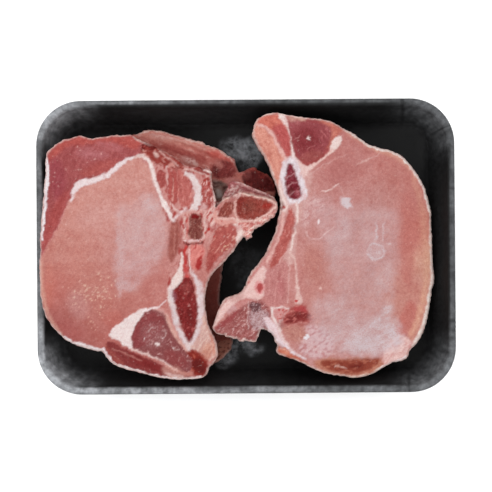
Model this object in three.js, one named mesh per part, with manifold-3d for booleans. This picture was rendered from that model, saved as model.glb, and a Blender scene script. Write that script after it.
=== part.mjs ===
// Three raw bone-in pork chops on a black foam meat tray.
// Millimetres, +Z up. The origin is the middle of the tray's underside. +X is the photograph's right
// and +Y its top, because the camera looks straight down.

import * as THREE from 'three';
import { mergeVertices } from 'three/addons/utils/BufferGeometryUtils.js';
import Module from 'manifold-3d';

const wasm = await Module();
wasm.setup();

// Driving sizes of the tray
const TRAY_LENGTH = 210;
const TRAY_WIDTH = 147.5;
const TRAY_HEIGHT = 25;
const TRAY_CORNER = 22.5;
const FOAM = 3;
const WALL_RUN = 7;

// Driving sizes of the chops
const GAP = 0.3;
const CHOP_THICKNESS = 14;
const FLOOR_REST = FOAM + GAP;
const UPPER_REST = FLOOR_REST + CHOP_THICKNESS + GAP;
const RIM_REST = TRAY_HEIGHT + GAP;
const RIM_LIFT_START = -45;
const RIM_LIFT_END = -101.5;
const RAMP_START = 16;
const RAMP_END = 92;
const RAMP_LOW = 4;
const RAMP_BEND = 0.4;
const LEDGE_HEIGHT = 7;
const SWELL_DEPTH = 1.2;

// How the photograph's pixels lie on the part: its middle, scale at the rim, camera height and roll
const PHOTO_MIDDLE = [246, 246.5];
const MM_PER_PIXEL = 0.5015;
const CAMERA_HEIGHT = 700;
const PHOTO_ROLL = THREE.MathUtils.degToRad(0.45);

// Outlines in photograph pixels, clockwise, each a closed smooth curve through its points
const LEFT_CHOP_PX = [
  [133, 135.3], [146, 142.5], [160, 149], [176, 157.5], [190, 166], [200, 166], [212, 171.5],
  [212.5, 182], [215, 195], [218, 202.5], [222, 196], [226, 188], [234, 180], [244, 183], [262, 190.5],
  [273, 196], [278, 205], [275, 216.5], [266, 225], [254.5, 230], [248, 239.5], [239, 243], [230, 255.5],
  [213, 273.5], [206.5, 289], [205.5, 308], [211, 331], [217.5, 347], [214, 363], [203.5, 377.8],
  [185, 379.7], [160, 378], [136, 372], [114, 364.8], [104, 354], [88, 349], [68, 341.5], [52, 326],
  [41.8, 304], [39.5, 275], [40, 240], [42.7, 203], [45, 165], [56, 144.3], [79, 135.6], [91, 138],
  [106, 136.2],
];
const LOWER_CHOP_PX = [
  [137, 133.3], [151, 129.8], [176, 134.8], [205, 143], [227, 154.5], [235.5, 162], [240, 172],
  [254, 167], [271, 177], [277, 191], [270, 209], [250, 224], [230, 248], [221.5, 280], [222, 308],
  [231, 328], [232.5, 345], [224, 358], [206, 369], [182, 373], [145, 366], [108, 349], [78, 333],
  [60, 305], [56, 265], [57, 215], [61, 172], [76, 150], [108, 142],
];
const RIGHT_CHOP_PX = [
  [251, 132], [255.5, 121], [269, 113.3], [291, 115], [320, 119], [344, 128.5], [367, 143],
  [392, 150.6], [411, 165.5], [424.5, 186.5], [431, 210], [432, 245], [434.6, 279], [428.7, 313],
  [417, 343], [408, 357], [392, 363], [369, 375.3], [356, 378], [327, 373.8], [300, 362.2],
  [276.5, 353], [273, 336.5], [265, 329.7], [256, 342.5], [241, 341], [224, 335.8], [214.5, 332],
  [215.5, 318], [223.5, 300], [240, 292.5], [250, 273], [270, 243], [280, 208], [277.5, 191],
  [266, 161],
];

// Bones in photograph pixels. Those at an edge reach past their chop's outline.
const LEFT_RIB_PX = [
  [184, 258], [177, 276], [168, 292], [173, 315], [179, 334], [190, 349], [200, 332], [214, 316],
  [215, 300], [208, 283], [197, 268], [191, 257],
];
const LEFT_VERTEBRA_PX = [
  [216, 209], [216, 200], [222, 184], [230, 174], [255, 180], [282, 193], [285, 207], [272, 214.5],
  [253, 221.5], [236, 219.5], [222, 219.5],
];
const LEFT_ARCH_PX = [
  [200, 176], [203, 164], [215, 164], [222, 186], [221, 202], [213, 206.5], [204, 207.5], [200.5, 197],
];
const LEFT_RIB_HEAD_PX = [
  [186, 212], [194, 209.5], [201, 214], [204, 224], [201, 238], [194, 242], [186, 237],
];
const LEDGE_PX = [
  [213, 206], [222, 200], [240, 191], [252, 195], [274, 200], [292, 206], [292, 165], [213, 165],
];
const LOWER_VERTEBRA_PX = [
  [240, 160], [256, 160], [276, 170], [286, 192], [274, 214], [254, 217], [241, 208], [238, 190],
  [238, 172],
];
const LOWER_ARCH_PX = [[211, 158], [224, 149], [240, 158], [234, 174], [222, 181], [212, 176]];
const RIGHT_RIB_PX = [
  [287, 157.5], [296, 160], [301, 170], [305, 186], [306, 199], [298, 207], [288, 202], [283, 186],
  [284, 167],
];
const RIGHT_VERTEBRA_PX = [
  [206, 345], [206, 312], [218, 295], [243, 286], [256, 294], [268, 305], [270, 317], [263, 331],
  [258, 347], [232, 349],
];

// Spacings of the faceted surfaces
const OUTLINE_STEP = 2.8;
const INSIDE_STEP = 6;
const BONE_STEP = 3;
const CORNER_STEPS = 8;

const COLOURS = {
  foam: 0x17181a, meat: 0xc37a78, lowerMeat: 0xb06a68, bone: 0x8a4442, spine: 0x9a5250,
};

// The tray

// Section of the tray as [inset from the rim's outer edge, height], from the underside round to the floor
const WALL_TOP = TRAY_HEIGHT - 1.2;
const WALL_FOOT = FOAM + 3.2;
const INNER_SECTION = [
  [2.4, TRAY_HEIGHT], [3.1, TRAY_HEIGHT - 0.4], [3.6, WALL_TOP], [3.6 + WALL_RUN, WALL_FOOT],
  [4.7 + WALL_RUN, FOAM + 1.4], [6.2 + WALL_RUN, FOAM + 0.35], [8.5 + WALL_RUN, FOAM],
];
const OUTER_SECTION = [
  [3.8 + WALL_RUN, 0], [2.6 + WALL_RUN, 0.5], [2 + WALL_RUN, 1.8], [1.2, 21.8], [0.3, 23.2],
  [0, 24.2], [0.5, 24.8], [1.4, TRAY_HEIGHT],
];

// How far a point lies inside the rim's outer edge, a rectangle with round corners
function insetAt(x, y) {
  const dx = Math.abs(x) - (TRAY_LENGTH / 2 - TRAY_CORNER);
  const dy = Math.abs(y) - (TRAY_WIDTH / 2 - TRAY_CORNER);
  const outside = Math.hypot(Math.max(dx, 0), Math.max(dy, 0));
  return TRAY_CORNER - outside - Math.min(Math.max(dx, dy), 0);
}

// Height of the tray's inner surface at a point
function trayAt(x, y) {
  const inset = insetAt(x, y);
  if (inset <= INNER_SECTION[0][0]) return TRAY_HEIGHT;
  for (let i = 1; i < INNER_SECTION.length; i++) {
    const [before, high] = INNER_SECTION[i - 1];
    const [after, low] = INNER_SECTION[i];
    if (inset <= after) return THREE.MathUtils.mapLinear(inset, before, after, high, low);
  }
  return FOAM;
}

// One ring of the tray at an inset and a height: a rectangle whose corners are arcs
function trayRing(inset, height) {
  const radius = TRAY_CORNER - inset;
  const ring = [];
  for (let corner = 0; corner < 4; corner++) {
    const signX = corner === 0 || corner === 3 ? 1 : -1;
    const signY = corner < 2 ? 1 : -1;
    for (let step = 0; step <= CORNER_STEPS; step++) {
      const angle = (corner + step / CORNER_STEPS) * Math.PI / 2;
      const x = signX * (TRAY_LENGTH / 2 - TRAY_CORNER) + radius * Math.cos(angle);
      const y = signY * (TRAY_WIDTH / 2 - TRAY_CORNER) + radius * Math.sin(angle);
      ring.push([x, y, height]);
    }
  }
  return ring;
}

function trayGeometry() {
  const rings = [...OUTER_SECTION, ...INNER_SECTION].map(([inset, height]) => trayRing(inset, height));
  const count = rings[0].length;
  const points = rings.flat();
  const under = points.push([0, 0, 0]) - 1;
  const floor = points.push([0, 0, FOAM]) - 1;
  const faces = [];
  for (let i = 0; i < count; i++) {
    const next = (i + 1) % count;
    for (let row = 0; row + 1 < rings.length; row++) {
      const low = row * count;
      const high = low + count;
      faces.push([low + i, low + next, high + next], [low + i, high + next, high + i]);
    }
    const last = (rings.length - 1) * count;
    faces.push([under, next, i], [floor, last + i, last + next]);
  }
  return geometryFrom(points, faces);
}

// The chops

// Undersides: the left chop lies on the lower one with its left edge up on the rim, and the right
// chop slopes from the lower one down to the tray's right end
function leftRest(x) {
  const t = Math.max(0, (RIM_LIFT_START - x) / (RIM_LIFT_START - RIM_LIFT_END));
  return UPPER_REST + (RIM_REST - UPPER_REST) * t * t;
}

function rightRest(x) {
  const t = Math.max(0, (x - RAMP_START) / (RAMP_END - RAMP_START));
  const eased = t < RAMP_BEND ? t * t / (2 * RAMP_BEND) : t - RAMP_BEND / 2;
  return UPPER_REST - (UPPER_REST - RAMP_LOW) * eased / (1 - RAMP_BEND / 2);
}

// How far the cut face dips below its full height, in long shallow swells
function unevenness(x, y) {
  const swell = Math.sin(0.11 * x + 1) * Math.cos(0.13 * y) + 0.6 * Math.sin(0.23 * x - 0.19 * y + 2);
  return SWELL_DEPTH * (1.6 + swell) / 3.2;
}

// A pixel's place on the part, at the height where the edge of a chop shows
function place([px, py], rest) {
  let height = TRAY_HEIGHT;
  let x = 0;
  let y = 0;
  for (let pass = 0; pass < 3; pass++) {
    const scale = MM_PER_PIXEL * (CAMERA_HEIGHT - height) / (CAMERA_HEIGHT - TRAY_HEIGHT);
    const across = (px - PHOTO_MIDDLE[0]) * scale;
    const up = (PHOTO_MIDDLE[1] - py) * scale;
    x = across * Math.cos(PHOTO_ROLL) + up * Math.sin(PHOTO_ROLL);
    y = up * Math.cos(PHOTO_ROLL) - across * Math.sin(PHOTO_ROLL);
    height = rest(x) + CHOP_THICKNESS - 3;
  }
  return new THREE.Vector3(x, y, 0);
}

// Points at an even spacing along the closed curve through an outline, anticlockwise
function smoothLoop(outline, rest, step) {
  const curve = new THREE.CatmullRomCurve3(outline.map((p) => place(p, rest)), true, 'catmullrom', 0.5);
  const count = Math.round(curve.getLength() / step);
  const points = curve.getSpacedPoints(count).slice(0, count);
  if (THREE.ShapeUtils.isClockWise(points)) points.reverse();
  return points.map((p) => [p.x, p.y]);
}

// The loop moved inwards, or outwards where the distance is negative
function inset(loop, distance) {
  return loop.map(([x, y], i) => {
    const before = loop[(i + loop.length - 1) % loop.length];
    const after = loop[(i + 1) % loop.length];
    const dx = after[0] - before[0];
    const dy = after[1] - before[1];
    const length = Math.hypot(dx, dy);
    return [x - distance * dy / length, y + distance * dx / length];
  });
}

function isInside(x, y, loop) {
  let inside = false;
  for (let i = 0, j = loop.length - 1; i < loop.length; j = i++) {
    const [xi, yi] = loop[i];
    const [xj, yj] = loop[j];
    if ((yi > y) !== (yj > y) && x < (xj - xi) * (y - yi) / (yj - yi) + xi) inside = !inside;
  }
  return inside;
}

function distanceTo(x, y, loop) {
  return Math.min(...loop.map(([lx, ly]) => Math.hypot(lx - x, ly - y)));
}

// Points inside a loop on a grid of equilateral triangles, clear of the loop itself
function insidePoints(loop) {
  const rowHeight = INSIDE_STEP * Math.sqrt(3) / 2;
  const clear = INSIDE_STEP * 0.45;
  const box = new THREE.Box2().setFromPoints(loop.map(([x, y]) => new THREE.Vector2(x, y)));
  const points = [];
  for (let row = 0; box.min.y + row * rowHeight < box.max.y; row++) {
    const y = box.min.y + row * rowHeight;
    for (let x = box.min.x + (row % 2) * INSIDE_STEP / 2; x < box.max.x; x += INSIDE_STEP) {
      const bow = 0.2 * Math.sin(x * 0.7 + y * 1.3);
      if (isInside(x, y, loop) && distanceTo(x, y, loop) > clear) points.push([x + bow, y - bow]);
    }
  }
  return points;
}

// Delaunay triangles of the points, found by adding one point at a time and filling the hole it makes
function triangulate(points) {
  const far = 5000;
  const all = [...points, [-far, -far], [far, -far], [0, far]];
  const circle = (a, b, c) => {
    const [ax, ay] = all[a];
    const bx = all[b][0] - ax;
    const by = all[b][1] - ay;
    const cx = all[c][0] - ax;
    const cy = all[c][1] - ay;
    const d = 2 * (bx * cy - by * cx);
    const ux = (cy * (bx * bx + by * by) - by * (cx * cx + cy * cy)) / d;
    const uy = (bx * (cx * cx + cy * cy) - cx * (bx * bx + by * by)) / d;
    return { corners: [a, b, c], x: ax + ux, y: ay + uy, r2: ux * ux + uy * uy };
  };
  let triangles = [circle(points.length, points.length + 1, points.length + 2)];
  points.forEach(([x, y], index) => {
    const edges = new Map();
    const kept = [];
    for (const t of triangles) {
      if ((x - t.x) ** 2 + (y - t.y) ** 2 >= t.r2) {
        kept.push(t);
        continue;
      }
      t.corners.forEach((a, i) => {
        const b = t.corners[(i + 1) % 3];
        if (!edges.delete(`${b},${a}`)) edges.set(`${a},${b}`, [a, b]);
      });
    }
    for (const [a, b] of edges.values()) kept.push(circle(a, b, index));
    triangles = kept;
  });
  return triangles.map((t) => t.corners).filter((corners) => Math.max(...corners) < points.length);
}

// A chop's slab: a round-edged side under the outline, and the same triangles above and below
function slabGeometry(outline, rest) {
  const loop = smoothLoop(outline, rest, OUTLINE_STEP);
  const under = (x, y) => Math.max(rest(x), trayAt(x, y) + GAP);
  const over = (x, y) => rest(x) + CHOP_THICKNESS - unevenness(x, y);
  const bottomEdge = inset(loop, 1.2);
  const shoulder = inset(loop, 0.9);
  const topEdge = inset(loop, 2.2);
  const lift = (ring, height) => ring.map(([x, y]) => [x, y, height(x, y)]);
  const rows = [
    lift(bottomEdge, under),
    lift(loop, (x, y) => under(x, y) + 1.8),
    lift(loop, (x, y) => over(x, y) - 3),
    lift(shoulder, (x, y) => over(x, y) - 1.2),
    lift(topEdge, (x, y) => over(x, y) - 0.4),
  ];
  const count = loop.length;
  const points = rows.flat();
  const faces = [];
  for (let i = 0; i < count; i++) {
    const next = (i + 1) % count;
    for (let row = 0; row + 1 < rows.length; row++) {
      const low = row * count;
      const high = low + count;
      faces.push([low + i, low + next, high + next], [low + i, high + next, high + i]);
    }
  }
  for (const [ring, first, height, faceUp] of [
    [topEdge, (rows.length - 1) * count, over, true], [bottomEdge, 0, under, false],
  ]) {
    const middle = insidePoints(ring);
    const start = points.length;
    points.push(...lift(middle, height));
    const indexOf = (i) => (i < count ? first + i : start + i - count);
    const flat = [...ring, ...middle];
    for (const [a, b, c] of triangulate(flat)) {
      const cx = (flat[a][0] + flat[b][0] + flat[c][0]) / 3;
      const cy = (flat[a][1] + flat[b][1] + flat[c][1]) / 3;
      if (!isInside(cx, cy, ring)) continue;
      const turn = (flat[b][0] - flat[a][0]) * (flat[c][1] - flat[a][1])
        - (flat[b][1] - flat[a][1]) * (flat[c][0] - flat[a][0]);
      const corners = (turn > 0) === faceUp ? [a, b, c] : [a, c, b];
      faces.push(corners.map(indexOf));
    }
  }
  return geometryFrom(points, faces);
}

// A straight-sided plug through a chop, from a bone's outline grown by a margin
function plugGeometry(outline, rest, margin, bottom = -5) {
  const loop = inset(smoothLoop(outline, rest, BONE_STEP), -margin);
  const shape = new THREE.Shape(loop.map(([x, y]) => new THREE.Vector2(x, y)));
  const geometry = new THREE.ExtrudeGeometry(shape, { depth: 60, bevelEnabled: false });
  return geometry.translate(0, 0, bottom);
}

// Meshes and cuts

function geometryFrom(points, faces) {
  const geometry = new THREE.BufferGeometry();
  geometry.setAttribute('position', new THREE.Float32BufferAttribute(points.flat(), 3));
  geometry.setIndex(faces.flat());
  return geometry;
}

function solidFrom(geometry) {
  const bare = geometry.clone();
  bare.deleteAttribute('normal');
  bare.deleteAttribute('uv');
  const merged = mergeVertices(bare, 1e-4);
  return new wasm.Manifold(new wasm.Mesh({
    numProp: 3,
    vertProperties: new Float32Array(merged.attributes.position.array),
    triVerts: new Uint32Array(merged.index.array),
  }));
}

function geometryOf(solid) {
  const { vertProperties, triVerts } = solid.getMesh();
  const geometry = new THREE.BufferGeometry();
  geometry.setAttribute('position', new THREE.BufferAttribute(vertProperties, 3));
  geometry.setIndex(new THREE.BufferAttribute(triVerts, 1));
  return geometry;
}

function meshOf(name, geometry, color) {
  const flat = geometry.toNonIndexed();
  flat.computeVertexNormals();
  const material = new THREE.MeshStandardMaterial({ color, roughness: 0.6, metalness: 0 });
  const mesh = new THREE.Mesh(flat, material);
  mesh.name = name;
  return mesh;
}

// A chop with its bones set in it: each bone is cut out of the slab, and the rest keeps clear of it
function chop(name, outline, rest, color, bones) {
  let meat = solidFrom(slabGeometry(outline, rest));
  const group = new THREE.Group();
  for (const bone of bones) {
    let solid = meat.intersect(solidFrom(plugGeometry(bone.outline, rest, 0)));
    if (bone.ledge) {
      solid = solid.subtract(solidFrom(plugGeometry(bone.ledge, rest, 0, UPPER_REST + LEDGE_HEIGHT)));
    }
    meat = meat.subtract(solidFrom(plugGeometry(bone.outline, rest, GAP)));
    group.add(meshOf(`${name}_${bone.name}`, geometryOf(solid), bone.color));
  }
  group.add(meshOf(`${name}_meat`, geometryOf(meat), color));
  return group;
}

const pack = new THREE.Group();
pack.add(meshOf('tray', trayGeometry(), COLOURS.foam));
pack.add(chop('left_chop', LEFT_CHOP_PX, leftRest, COLOURS.meat, [
  { name: 'rib', outline: LEFT_RIB_PX, color: COLOURS.bone },
  { name: 'vertebra', outline: LEFT_VERTEBRA_PX, color: COLOURS.spine, ledge: LEDGE_PX },
  { name: 'arch', outline: LEFT_ARCH_PX, color: COLOURS.spine },
  { name: 'rib_head', outline: LEFT_RIB_HEAD_PX, color: COLOURS.bone },
]));
pack.add(chop('lower_chop', LOWER_CHOP_PX, () => FLOOR_REST, COLOURS.lowerMeat, [
  { name: 'vertebra', outline: LOWER_VERTEBRA_PX, color: COLOURS.spine },
  { name: 'arch', outline: LOWER_ARCH_PX, color: COLOURS.spine },
]));
pack.add(chop('right_chop', RIGHT_CHOP_PX, rightRest, COLOURS.meat, [
  { name: 'rib', outline: RIGHT_RIB_PX, color: COLOURS.bone },
  { name: 'vertebra', outline: RIGHT_VERTEBRA_PX, color: COLOURS.spine },
]));

export default pack;
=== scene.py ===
"""Three raw bone-in pork chops on a black foam meat tray.

Shapes are worked out in millimetres in the frame's axes, with numpy, as whole arrays. What each place of a
cut face looks like is painted in the photograph's pixels: `pixels_of` says which pixel a point falls on."""

import math

import bpy
import numpy as np
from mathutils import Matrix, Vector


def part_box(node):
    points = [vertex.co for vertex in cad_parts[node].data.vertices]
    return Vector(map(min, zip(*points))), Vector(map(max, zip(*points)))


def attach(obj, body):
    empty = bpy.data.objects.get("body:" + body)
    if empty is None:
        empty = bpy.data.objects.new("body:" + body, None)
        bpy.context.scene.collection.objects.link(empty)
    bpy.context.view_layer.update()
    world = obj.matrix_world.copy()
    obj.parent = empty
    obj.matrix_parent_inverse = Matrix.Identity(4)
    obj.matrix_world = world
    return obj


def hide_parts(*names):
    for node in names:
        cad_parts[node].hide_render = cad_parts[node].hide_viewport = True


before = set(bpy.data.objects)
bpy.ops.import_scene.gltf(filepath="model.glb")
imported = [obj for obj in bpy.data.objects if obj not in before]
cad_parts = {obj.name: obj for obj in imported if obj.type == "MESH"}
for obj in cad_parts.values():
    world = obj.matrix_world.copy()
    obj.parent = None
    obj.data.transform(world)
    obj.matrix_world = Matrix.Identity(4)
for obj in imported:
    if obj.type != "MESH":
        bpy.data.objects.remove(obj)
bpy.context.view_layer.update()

# Sizes of the tray and the chops in millimetres, as the frame has them
tray_low, tray_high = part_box("tray")
TRAY_LENGTH = 1000 * (tray_high[0] - tray_low[0])
TRAY_WIDTH = 1000 * (tray_high[1] - tray_low[1])
TRAY_HEIGHT = 1000 * tray_high[2]
TRAY_CORNER = 22.5
FOAM = 3
WALL_RUN = 7
GAP = 0.3
CHOP_THICKNESS = 14
FLOOR_REST = FOAM + GAP
UPPER_REST = FLOOR_REST + CHOP_THICKNESS + GAP
RIM_REST = TRAY_HEIGHT + GAP
RIM_LIFT_START, RIM_LIFT_END = -45, -101.5
RAMP_START, RAMP_END, RAMP_LOW, RAMP_BEND = 16, 92, 4, 0.4
LEDGE_HEIGHT = 7
SWELL_DEPTH = 1.2
EDGE_DROP = 3

# The photograph: its middle, scale at the rim, camera height over the table and roll
PHOTO_SIZE = 492
PHOTO_MIDDLE = (246, 246.5)
MM_PER_PIXEL = 0.5015
CAMERA_HEIGHT = 700
ROLL = math.radians(0.45)

# The fine meshes in millimetres: spacings on a face, up a side wall and along the tray's section, how far a
# bone reaches into the meat round it, the edges' radii, and how far from an outline distances are worked out
FACE_STEP = 0.5
SIDE_STEP = 0.8
SECTION_STEP = 0.8
BONE_OVERLAP = 0.12
TOP_ROUND = 1.7
FOOT_ROUND = 1.4
EDGE_REACH = 12
TRAY_AROUND = 720
FLOOR_RINGS = 40

# Brightness of a white surface under the lights: over 1, so the pale floor stays white in soft shadow, and
# painted tones are divided by it so that they come out as given. The sheen of the surface is taken off.
WHITE = 2.0
SHEEN = 0.006
DARKEST = 0.003

# Outlines in photograph pixels, each a closed smooth curve through its points
LEFT_CHOP_PX = [
    (133, 135.3), (138, 139), (146, 142.5), (153, 145), (160, 149), (168, 153), (176, 157.5), (183, 163),
    (190, 166), (200, 166), (207, 168.5), (212, 171.5), (211.5, 177), (213, 186), (215, 195),
    (218, 202.5), (221, 201), (222, 196), (226, 188), (230, 182), (234, 180), (244, 183), (252, 186.5),
    (262, 190.5), (270, 194), (276, 199), (278, 205), (277.5, 211), (275, 216.5), (271, 219.5),
    (266, 224), (258, 227.5), (254, 230.5), (251, 238), (247, 240), (243, 238.5), (239, 243),
    (235, 249.5), (230, 255.5), (225, 261.5), (219, 267.5), (213, 273.5), (209, 281), (206.5, 289),
    (205, 299), (205.5, 308), (207, 317), (209.5, 327), (213, 335), (216.5, 343), (218, 351), (217, 358),
    (213, 364.5), (209, 368.5), (207.5, 373.5), (203.5, 377.8), (196, 379), (185, 379.7), (173, 379.7),
    (160, 378), (148, 375), (136, 372), (124, 368.7), (114, 364.8), (107.5, 359.5), (104, 354),
    (101, 351.3), (97, 351.3), (88, 349), (78, 345.8), (68, 341.5), (60, 334.8), (52, 326), (45.5, 315.5),
    (41.8, 304), (40, 290), (39.5, 275), (39.7, 258), (40, 240), (41, 220), (42.7, 203), (44, 185),
    (45.5, 172), (45, 162), (46.5, 154), (50, 149), (56, 144.3), (63, 139.7), (71, 137.8), (79, 135.6),
    (85, 136.3), (91, 138.2), (98, 137.2), (106, 136.2), (115, 134.8), (125, 134.7),
]
LOWER_CHOP_PX = [
    (137, 133.3), (144, 130.3), (151, 129.8), (163, 131.2), (176, 134.8), (190, 139), (205, 143),
    (218, 148.3), (227, 154.5), (234.5, 159), (236.5, 166), (240, 172), (245, 170), (254, 167),
    (262, 171.5), (271, 177), (275.5, 184.5), (277, 191), (275, 200), (270, 209), (250, 224), (230, 248),
    (223.5, 264), (221.5, 280), (219.5, 300), (224, 314), (231, 328), (233, 339), (231, 350), (227, 354),
    (224, 358), (214, 364), (206, 369), (182, 373), (145, 366), (108, 349), (78, 333), (60, 305),
    (56, 265), (57, 215), (61, 172), (76, 150), (108, 142),
]
RIGHT_CHOP_PX = [
    (251, 132), (253, 128), (255.5, 121), (261, 116.5), (269, 113.3), (279, 112.9), (291, 115),
    (305, 117.2), (320, 119), (333, 122), (344, 128.5), (356, 135), (367, 143), (379, 147.6),
    (392, 150.6), (402, 156), (411, 165.5), (418, 175.5), (424.5, 186.5), (427.3, 196), (431, 210),
    (431.5, 225), (432, 245), (433.3, 266), (434.6, 279), (431.5, 296), (428.7, 313), (424, 330),
    (417, 343), (410.5, 350), (408, 357), (402, 360.5), (392, 363), (381, 369), (369, 375.3), (356, 378),
    (342, 376.2), (327, 373.8), (313, 369), (300, 362.2), (287, 357.5), (276.5, 353), (276, 344),
    (273, 336.5), (269, 332), (265, 329.7), (260, 332), (258.3, 337), (256, 342.5), (251.5, 342),
    (241, 341), (233, 339), (224, 335.8), (215.5, 333.5), (212.5, 328), (215, 318), (219, 308),
    (223.5, 300), (231, 296), (240, 292.5), (245, 285), (250, 273), (257, 264.5), (264, 255.5),
    (270, 243), (275, 231), (278.5, 216), (280, 204), (277.5, 191), (272.5, 177), (266, 161), (258, 148),
    (252.5, 137),
]
LEFT_RIB_PX = [
    (184, 258), (177, 276), (168, 292), (173, 315), (179, 334), (190, 349), (200, 332), (214, 316),
    (215, 300), (208, 283), (197, 268), (191, 257),
]
LEFT_VERTEBRA_PX = [
    (216, 209), (216, 200), (222, 184), (230, 174), (255, 180), (282, 193), (285, 207), (272, 214.5),
    (253, 221.5), (236, 219.5), (222, 219.5),
]
LEFT_ARCH_PX = [
    (200, 176), (203, 164), (215, 164), (222, 186), (221, 202), (213, 206.5), (204, 207.5), (200.5, 197),
]
LEFT_RIB_HEAD_PX = [
    (186, 212), (194, 209.5), (201, 214), (204, 224), (201, 238), (194, 242), (186, 237),
]
LEDGE_PX = [
    (213, 206), (222, 200), (226, 197.5), (236, 193), (240, 191), (252, 195), (264, 197), (274, 200),
    (292, 206), (292, 165), (213, 165),
]
LOWER_VERTEBRA_PX = [
    (240, 160), (256, 160), (276, 170), (286, 192), (274, 214), (254, 217), (241, 208), (238, 190),
    (238, 172),
]
LOWER_ARCH_PX = [
    (211, 158), (224, 149), (240, 158), (234, 174), (222, 181), (212, 176),
]
RIGHT_RIB_PX = [
    (287, 157.5), (296, 160), (301, 170), (305, 186), (306, 199), (298, 207), (288, 202), (283, 186),
    (284, 167),
]
RIGHT_VERTEBRA_PX = [
    (206, 345), (206, 312), (218, 295), (243, 286), (256, 294), (268, 305), (270, 317), (263, 331),
    (258, 347), (232, 349),
]

# Stretches of the chops' edges that the saw tore: middle and radius in photograph pixels
SAW_TORN = {
    "left_chop": [((266, 226), 13), ((249, 239), 8), ((226, 188), 8), ((206, 167), 8), ((209, 368), 5)],
    "lower_chop": [((205, 143), 16), ((230, 157), 10), ((262, 172), 12)],
    "right_chop": [((236, 340), 20), ((262, 331), 6), ((251, 130), 6), ((278, 345), 8)],
}

# Stretches of the edges without the pale fringe and its painted highlight, in the same way
BARE_EDGES = {
    "left_chop": [((178, 156), 40), ((229, 189), 13)],
    "lower_chop": [((262, 176), 26)],
    "right_chop": [],
}


# Numbers over whole arrays

def noise(x, y, size, seed):
    """Smooth noise from about -1 to 1: each corner of a square grid holds a seeded random slope, and
    the four slopes round a point are blended by the curve 6t^5 - 15t^4 + 10t^3."""
    angles = np.random.default_rng(seed).uniform(0, 2 * np.pi, (256, 256))
    u, v = x / size, y / size
    column, row = np.floor(u).astype(int), np.floor(v).astype(int)
    across, up = u - column, v - row

    def slope(right, top):
        angle = angles[(column + right) % 256, (row + top) % 256]
        return np.cos(angle) * (across - right) + np.sin(angle) * (up - top)

    fade_across = across ** 3 * (across * (across * 6 - 15) + 10)
    fade_up = up ** 3 * (up * (up * 6 - 15) + 10)
    low = slope(0, 0) * (1 - fade_across) + slope(1, 0) * fade_across
    high = slope(0, 1) * (1 - fade_across) + slope(1, 1) * fade_across
    return 1.5 * (low * (1 - fade_up) + high * fade_up)


def smoothstep(low, high, value):
    """0 below low, 1 above high, and an S-curve between them."""
    t = np.clip((value - low) / (high - low), 0, 1)
    return t * t * (3 - 2 * t)


def curve(points, closed, spacing):
    """Points at about the spacing along the uniform Catmull-Rom curve through the given points."""
    points = np.array(points, dtype=float)
    if closed:
        ring = np.vstack([points[-1:], points, points[:2]])
    else:
        ring = np.vstack([2 * points[:1] - points[1:2], points, 2 * points[-1:] - points[-2:-1]])
    stretches = []
    for p0, p1, p2, p3 in zip(ring, ring[1:], ring[2:], ring[3:]):
        count = max(1, round(float(np.hypot(*(p2 - p1))) / spacing))
        t = np.arange(count)[:, None] / count
        stretches.append(0.5 * (2 * p1 + (p2 - p0) * t + (2 * p0 - 5 * p1 + 4 * p2 - p3) * t ** 2
                                + (3 * p1 - p0 - 3 * p2 + p3) * t ** 3))
    if not closed:
        stretches.append(points[-1:])
    return np.vstack(stretches)


def signed_distance(path, x, y, reach):
    """Distance of each point inside a closed path, negative outside it, cut off at the reach."""
    result = np.full(x.shape, -float(reach))
    low, high = path.min(axis=0) - reach, path.max(axis=0) + reach
    near = (x > low[0]) & (x < high[0]) & (y > low[1]) & (y < high[1])
    px, py = x[near], y[near]
    best = np.full(px.shape, float(reach) ** 2)
    inside = np.zeros(px.shape, dtype=bool)
    for (ax, ay), (bx, by) in zip(path, np.roll(path, -1, axis=0)):
        ex, ey = bx - ax, by - ay
        t = np.clip(((px - ax) * ex + (py - ay) * ey) / max(ex * ex + ey * ey, 1e-12), 0, 1)
        np.minimum(best, (px - ax - t * ex) ** 2 + (py - ay - t * ey) ** 2, out=best)
        if ay != by:
            crosses = ((ay > py) != (by > py)) & (px < ax + (py - ay) * ex / ey)
            inside ^= crosses
    best = np.sqrt(best)
    result[near] = np.where(inside, best, -best)
    return result


def line_cover(points, widths, x, y, soft):
    """How far each point is covered by a line whose width changes evenly from point to point."""
    path = curve(points, False, 0.8)
    stations = np.linspace(0, len(points) - 1, len(path))
    half = np.interp(stations, np.linspace(0, len(points) - 1, len(widths)), widths) / 2
    reach = half.max() + 2 * soft
    low, high = path.min(axis=0) - reach, path.max(axis=0) + reach
    near = (x > low[0]) & (x < high[0]) & (y > low[1]) & (y < high[1])
    px, py = x[near], y[near]
    best = np.full(px.shape, 1e3)
    for (cx, cy), r in zip(path, half):
        np.minimum(best, np.hypot(px - cx, py - cy) - r, out=best)
    cover = np.zeros(x.shape)
    cover[near] = smoothstep(soft, -soft, best)
    return cover


def linear(colour):
    """An 8-bit display colour as the linear reflectance that shows as it under the lights."""
    c = np.array(colour, dtype=float) / 255
    shown = np.where(c <= 0.04045, c / 12.92, ((c + 0.055) / 1.055) ** 2.4)
    return np.maximum(shown / WHITE - SHEEN, DARKEST)


# Heights and places

def inset_at(x, y):
    """How far a point lies inside the rim's outer edge, a rectangle with round corners."""
    dx = np.abs(x) - (TRAY_LENGTH / 2 - TRAY_CORNER)
    dy = np.abs(y) - (TRAY_WIDTH / 2 - TRAY_CORNER)
    outside = np.hypot(np.maximum(dx, 0), np.maximum(dy, 0))
    return TRAY_CORNER - outside - np.minimum(np.maximum(dx, dy), 0)


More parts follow.
